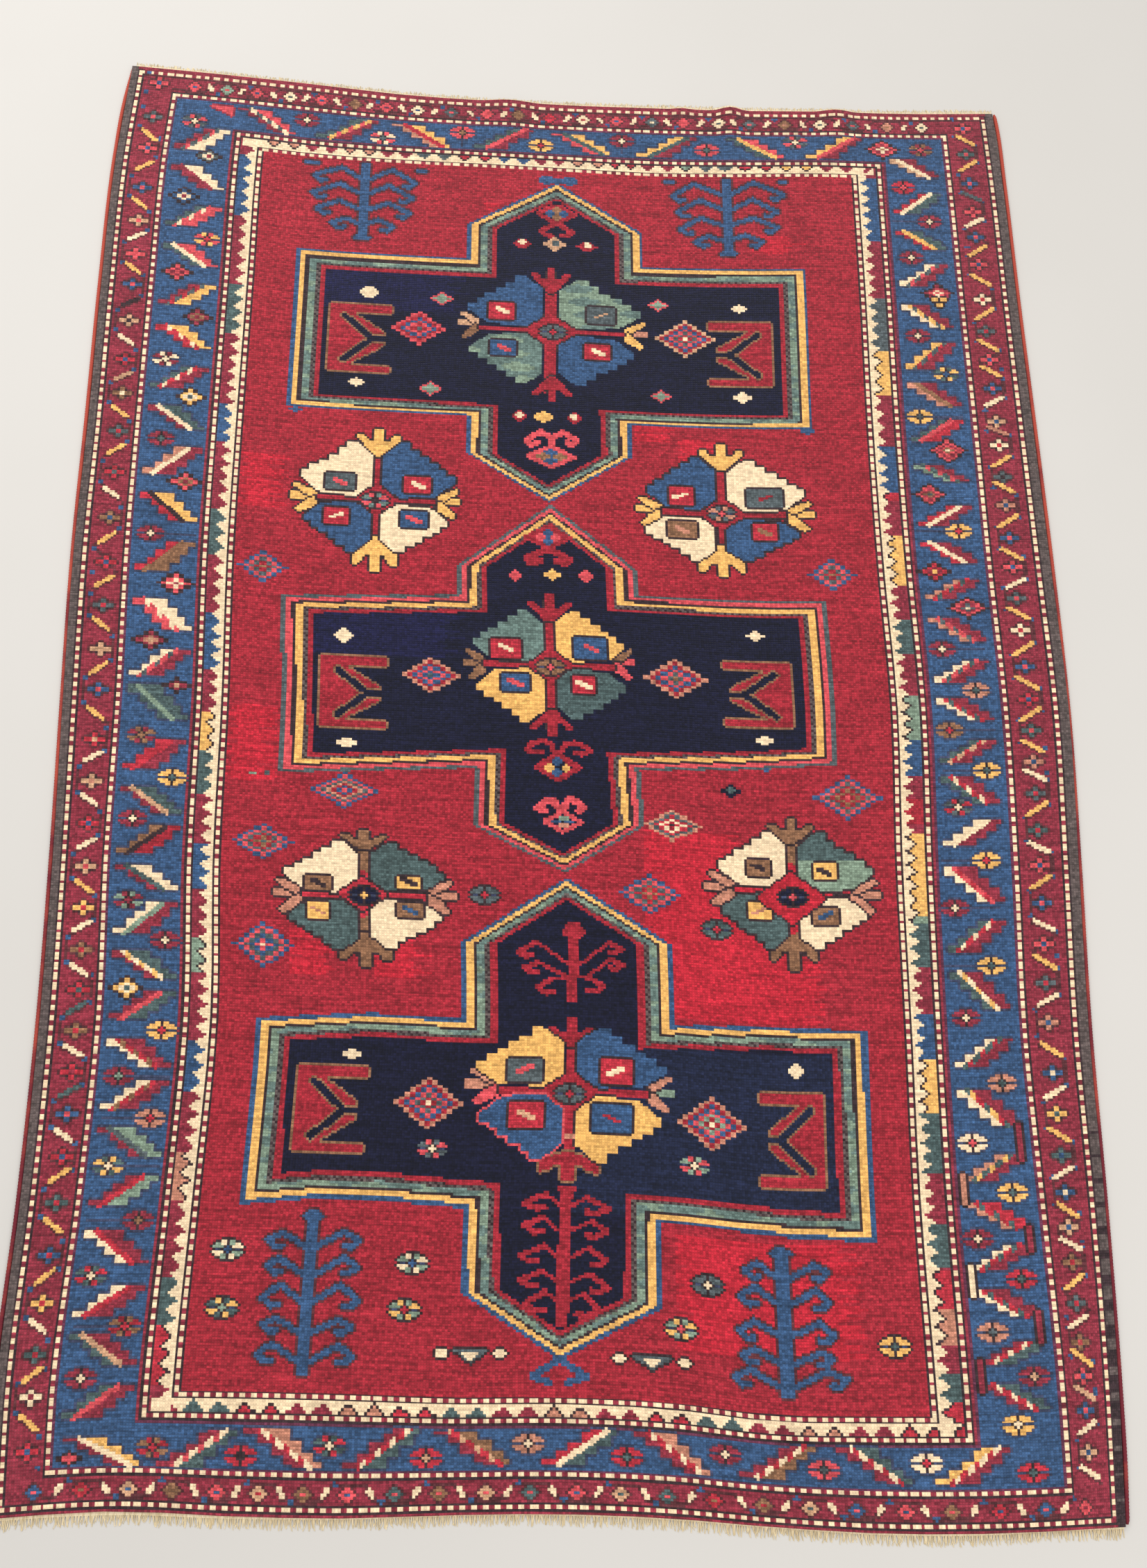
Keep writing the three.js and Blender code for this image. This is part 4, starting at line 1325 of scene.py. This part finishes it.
def side_cord(name, outward):
    """A rod along one side of the rug, swelling at each turn of its wrapping."""
    low, high = (v.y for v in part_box(name))
    turns = round((high - low) / WRAP)
    bm = bmesh.new()
    bmesh.ops.create_cone(
        bm, cap_ends=True, cap_tris=True, segments=CORD_SIDES, radius1=1, radius2=1, depth=1
    )
    long_edges = [e for e in bm.edges if abs(e.verts[0].co.z - e.verts[1].co.z) > 0.5]
    bmesh.ops.subdivide_edges(bm, edges=long_edges, cuts=turns * RINGS_PER_WRAP - 1)
    share = np.array([v.co.z + 0.5 for v in bm.verts])
    y = low + share * (high - low)
    face = curve_through(SIDE_LEVELS, SIDE_FACES[name], (y + RUG_MIDDLE[1]) * 1000) / 1000
    x = face - RUG_MIDDLE[0] - outward * CORD_WIDTH / 2
    swell = 1 - NOTCH * (np.round(share * turns * RINGS_PER_WRAP) % 2)
    end = np.clip(np.minimum(share, 1 - share) * turns / 1.5, 0, 1)
    swell = swell * (0.55 + 0.45 * np.sqrt(end))
    for number, vertex in enumerate(bm.verts):
        across, up = vertex.co.x, vertex.co.y
        vertex.co = (
            x[number] + across * CORD_WIDTH / 2 * swell[number], y[number],
            CORD_HEIGHT / 2 * (1 + up * swell[number]),
        )
    bmesh.ops.recalc_face_normals(bm, faces=bm.faces)
    mesh = finished(bm, name + "_wrapped")
    mesh.shade_smooth()
    mesh.materials.append(overcast)
    cord = new_piece(name + "_wrapped", mesh)
    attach(cord, "root")
    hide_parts(name)
    return cord


overcast = overcast_wool()
cords = [side_cord("side_cord_left", -1), side_cord("side_cord_right", 1)]


# ---------------------------------------------------------------------------
# The two ends: a narrow pale web where the wefts stop, and past it the undyed
# warps, cut short and loose. They are worn to uneven lengths, longer below.

WARPS = 720
WEB_DEPTH, WEB_HEIGHT = 0.006, 0.003
WEB_CUTS = 150  # enough for the web to follow the edge and the ripples
LENGTHS = (0.55, 1.1)  # shortest and longest warp end, as a share of the fringe's length
THICKNESSES = (0.0009, 0.0013)  # radius of a warp end where it leaves the web
STRAY, CURL = 0.0016, 0.0009  # how far the warp ends wander sideways
BOTTOM_EDGE = (
    -1161, -1154, -1151, -1156, -1158, -1154, -1154, -1160, -1171, -1180, -1181, -1176, -1174,
)
END_EDGES = {  # node: the pile's edge, the way out and the length of its fringe, in mm
    "fringe_top": (TOP_EDGE, 1, 9),
    "fringe_bottom": (BOTTOM_EDGE, -1, 15),
}


def warp_wool():
    """Undyed hand-twisted warp: pale beige, dry and fuzzy, greyer where walked on."""
    wool, tree, shader = new_material("undyed warp wool")
    place = add_node(tree, "ShaderNodeTexCoord").outputs["Object"]
    strands = add_node(tree, "ShaderNodeMapping", inputs={"Scale": (420, 60, 60)}, Vector=place)
    tone = noise(tree, 1, 3, 0.7, strands.outputs[0])
    dyes = two_tones(tree, tone, 0.3, "C0AC84", 0.68, "F2E4C4")
    finish_surface(tree, shader, dyes, 0.92, 0.15, (0.6, 0.0008, tone))
    return wool


def fringe(name):
    """The web and its warp ends as one piece: each end is a thin three-sided
    strand that leaves the web flat, sinks to the floor and strays a little."""
    edge, way, length = END_EDGES[name]
    low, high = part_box(name)
    draws = np.random.default_rng(len(name))
    bm = bmesh.new()

    def edge_at(x):
        return curve_through(END_STATIONS, edge, (x + RUG_MIDDLE[0]) * 1000) / 1000 - RUG_MIDDLE[1]

    # The web: a thin slab that follows the edge.
    bmesh.ops.create_cube(bm, size=1)
    long_edges = [e for e in bm.edges if abs(e.verts[0].co.x - e.verts[1].co.x) > 0.5]
    bmesh.ops.subdivide_edges(bm, edges=long_edges, cuts=WEB_CUTS)
    start, finish = low.x + 0.001, high.x - 0.001
    for vertex in bm.verts:
        x = start + (vertex.co.x + 0.5) * (finish - start)
        y = edge_at(np.array([x]))[0] + way * (vertex.co.y + 0.5) * WEB_DEPTH
        lift = ripple_at((x + RUG_MIDDLE[0]) * 1000, (y + RUG_MIDDLE[1]) * 1000) / 1000
        vertex.co = (x, y, (vertex.co.z + 0.5) * WEB_HEIGHT + float(lift))
    # The strands: one thin prism in four stretches, copied and bent warp by warp.
    prism_bm = bmesh.new()
    bmesh.ops.create_cone(
        prism_bm, cap_ends=True, cap_tris=True, segments=3, radius1=1, radius2=0.7, depth=1
    )
    long_edges = [e for e in prism_bm.edges if abs(e.verts[0].co.z - e.verts[1].co.z) > 0.5]
    bmesh.ops.subdivide_edges(prism_bm, edges=long_edges, cuts=3)
    prism = finished(prism_bm, "prism")
    for x in np.linspace(start + 0.001, finish - 0.001, WARPS):
        before = len(bm.verts)
        bm.from_mesh(prism)
        bm.verts.ensure_lookup_table()
        base = float(edge_at(np.array([x]))[0])
        reach = length / 1000 * draws.uniform(*LENGTHS)
        stray, curl = draws.normal(0, STRAY), draws.normal(0, CURL)
        thick = draws.uniform(*THICKNESSES)
        for v in bm.verts[before:]:
            t = v.co.z + 0.5
            y = base + way * (WEB_DEPTH * 0.8 + t * reach)
            sway = stray * t * t + curl * math.sin(3 * t)
            z = WEB_HEIGHT * 0.55 * (1 - t) ** 1.5 + 0.0009
            v.co = (x + sway + v.co.x * thick, y, max(0.0001, z + v.co.y * thick * 0.7))
    bpy.data.meshes.remove(prism)
    bmesh.ops.recalc_face_normals(bm, faces=bm.faces)
    mesh = finished(bm, name + "_strands")
    mesh.materials.append(warps)
    piece = new_piece(name + "_strands", mesh)
    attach(piece, "root")
    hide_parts(name)
    return piece


warps = warp_wool()
fringes = [fringe("fringe_top"), fringe("fringe_bottom")]
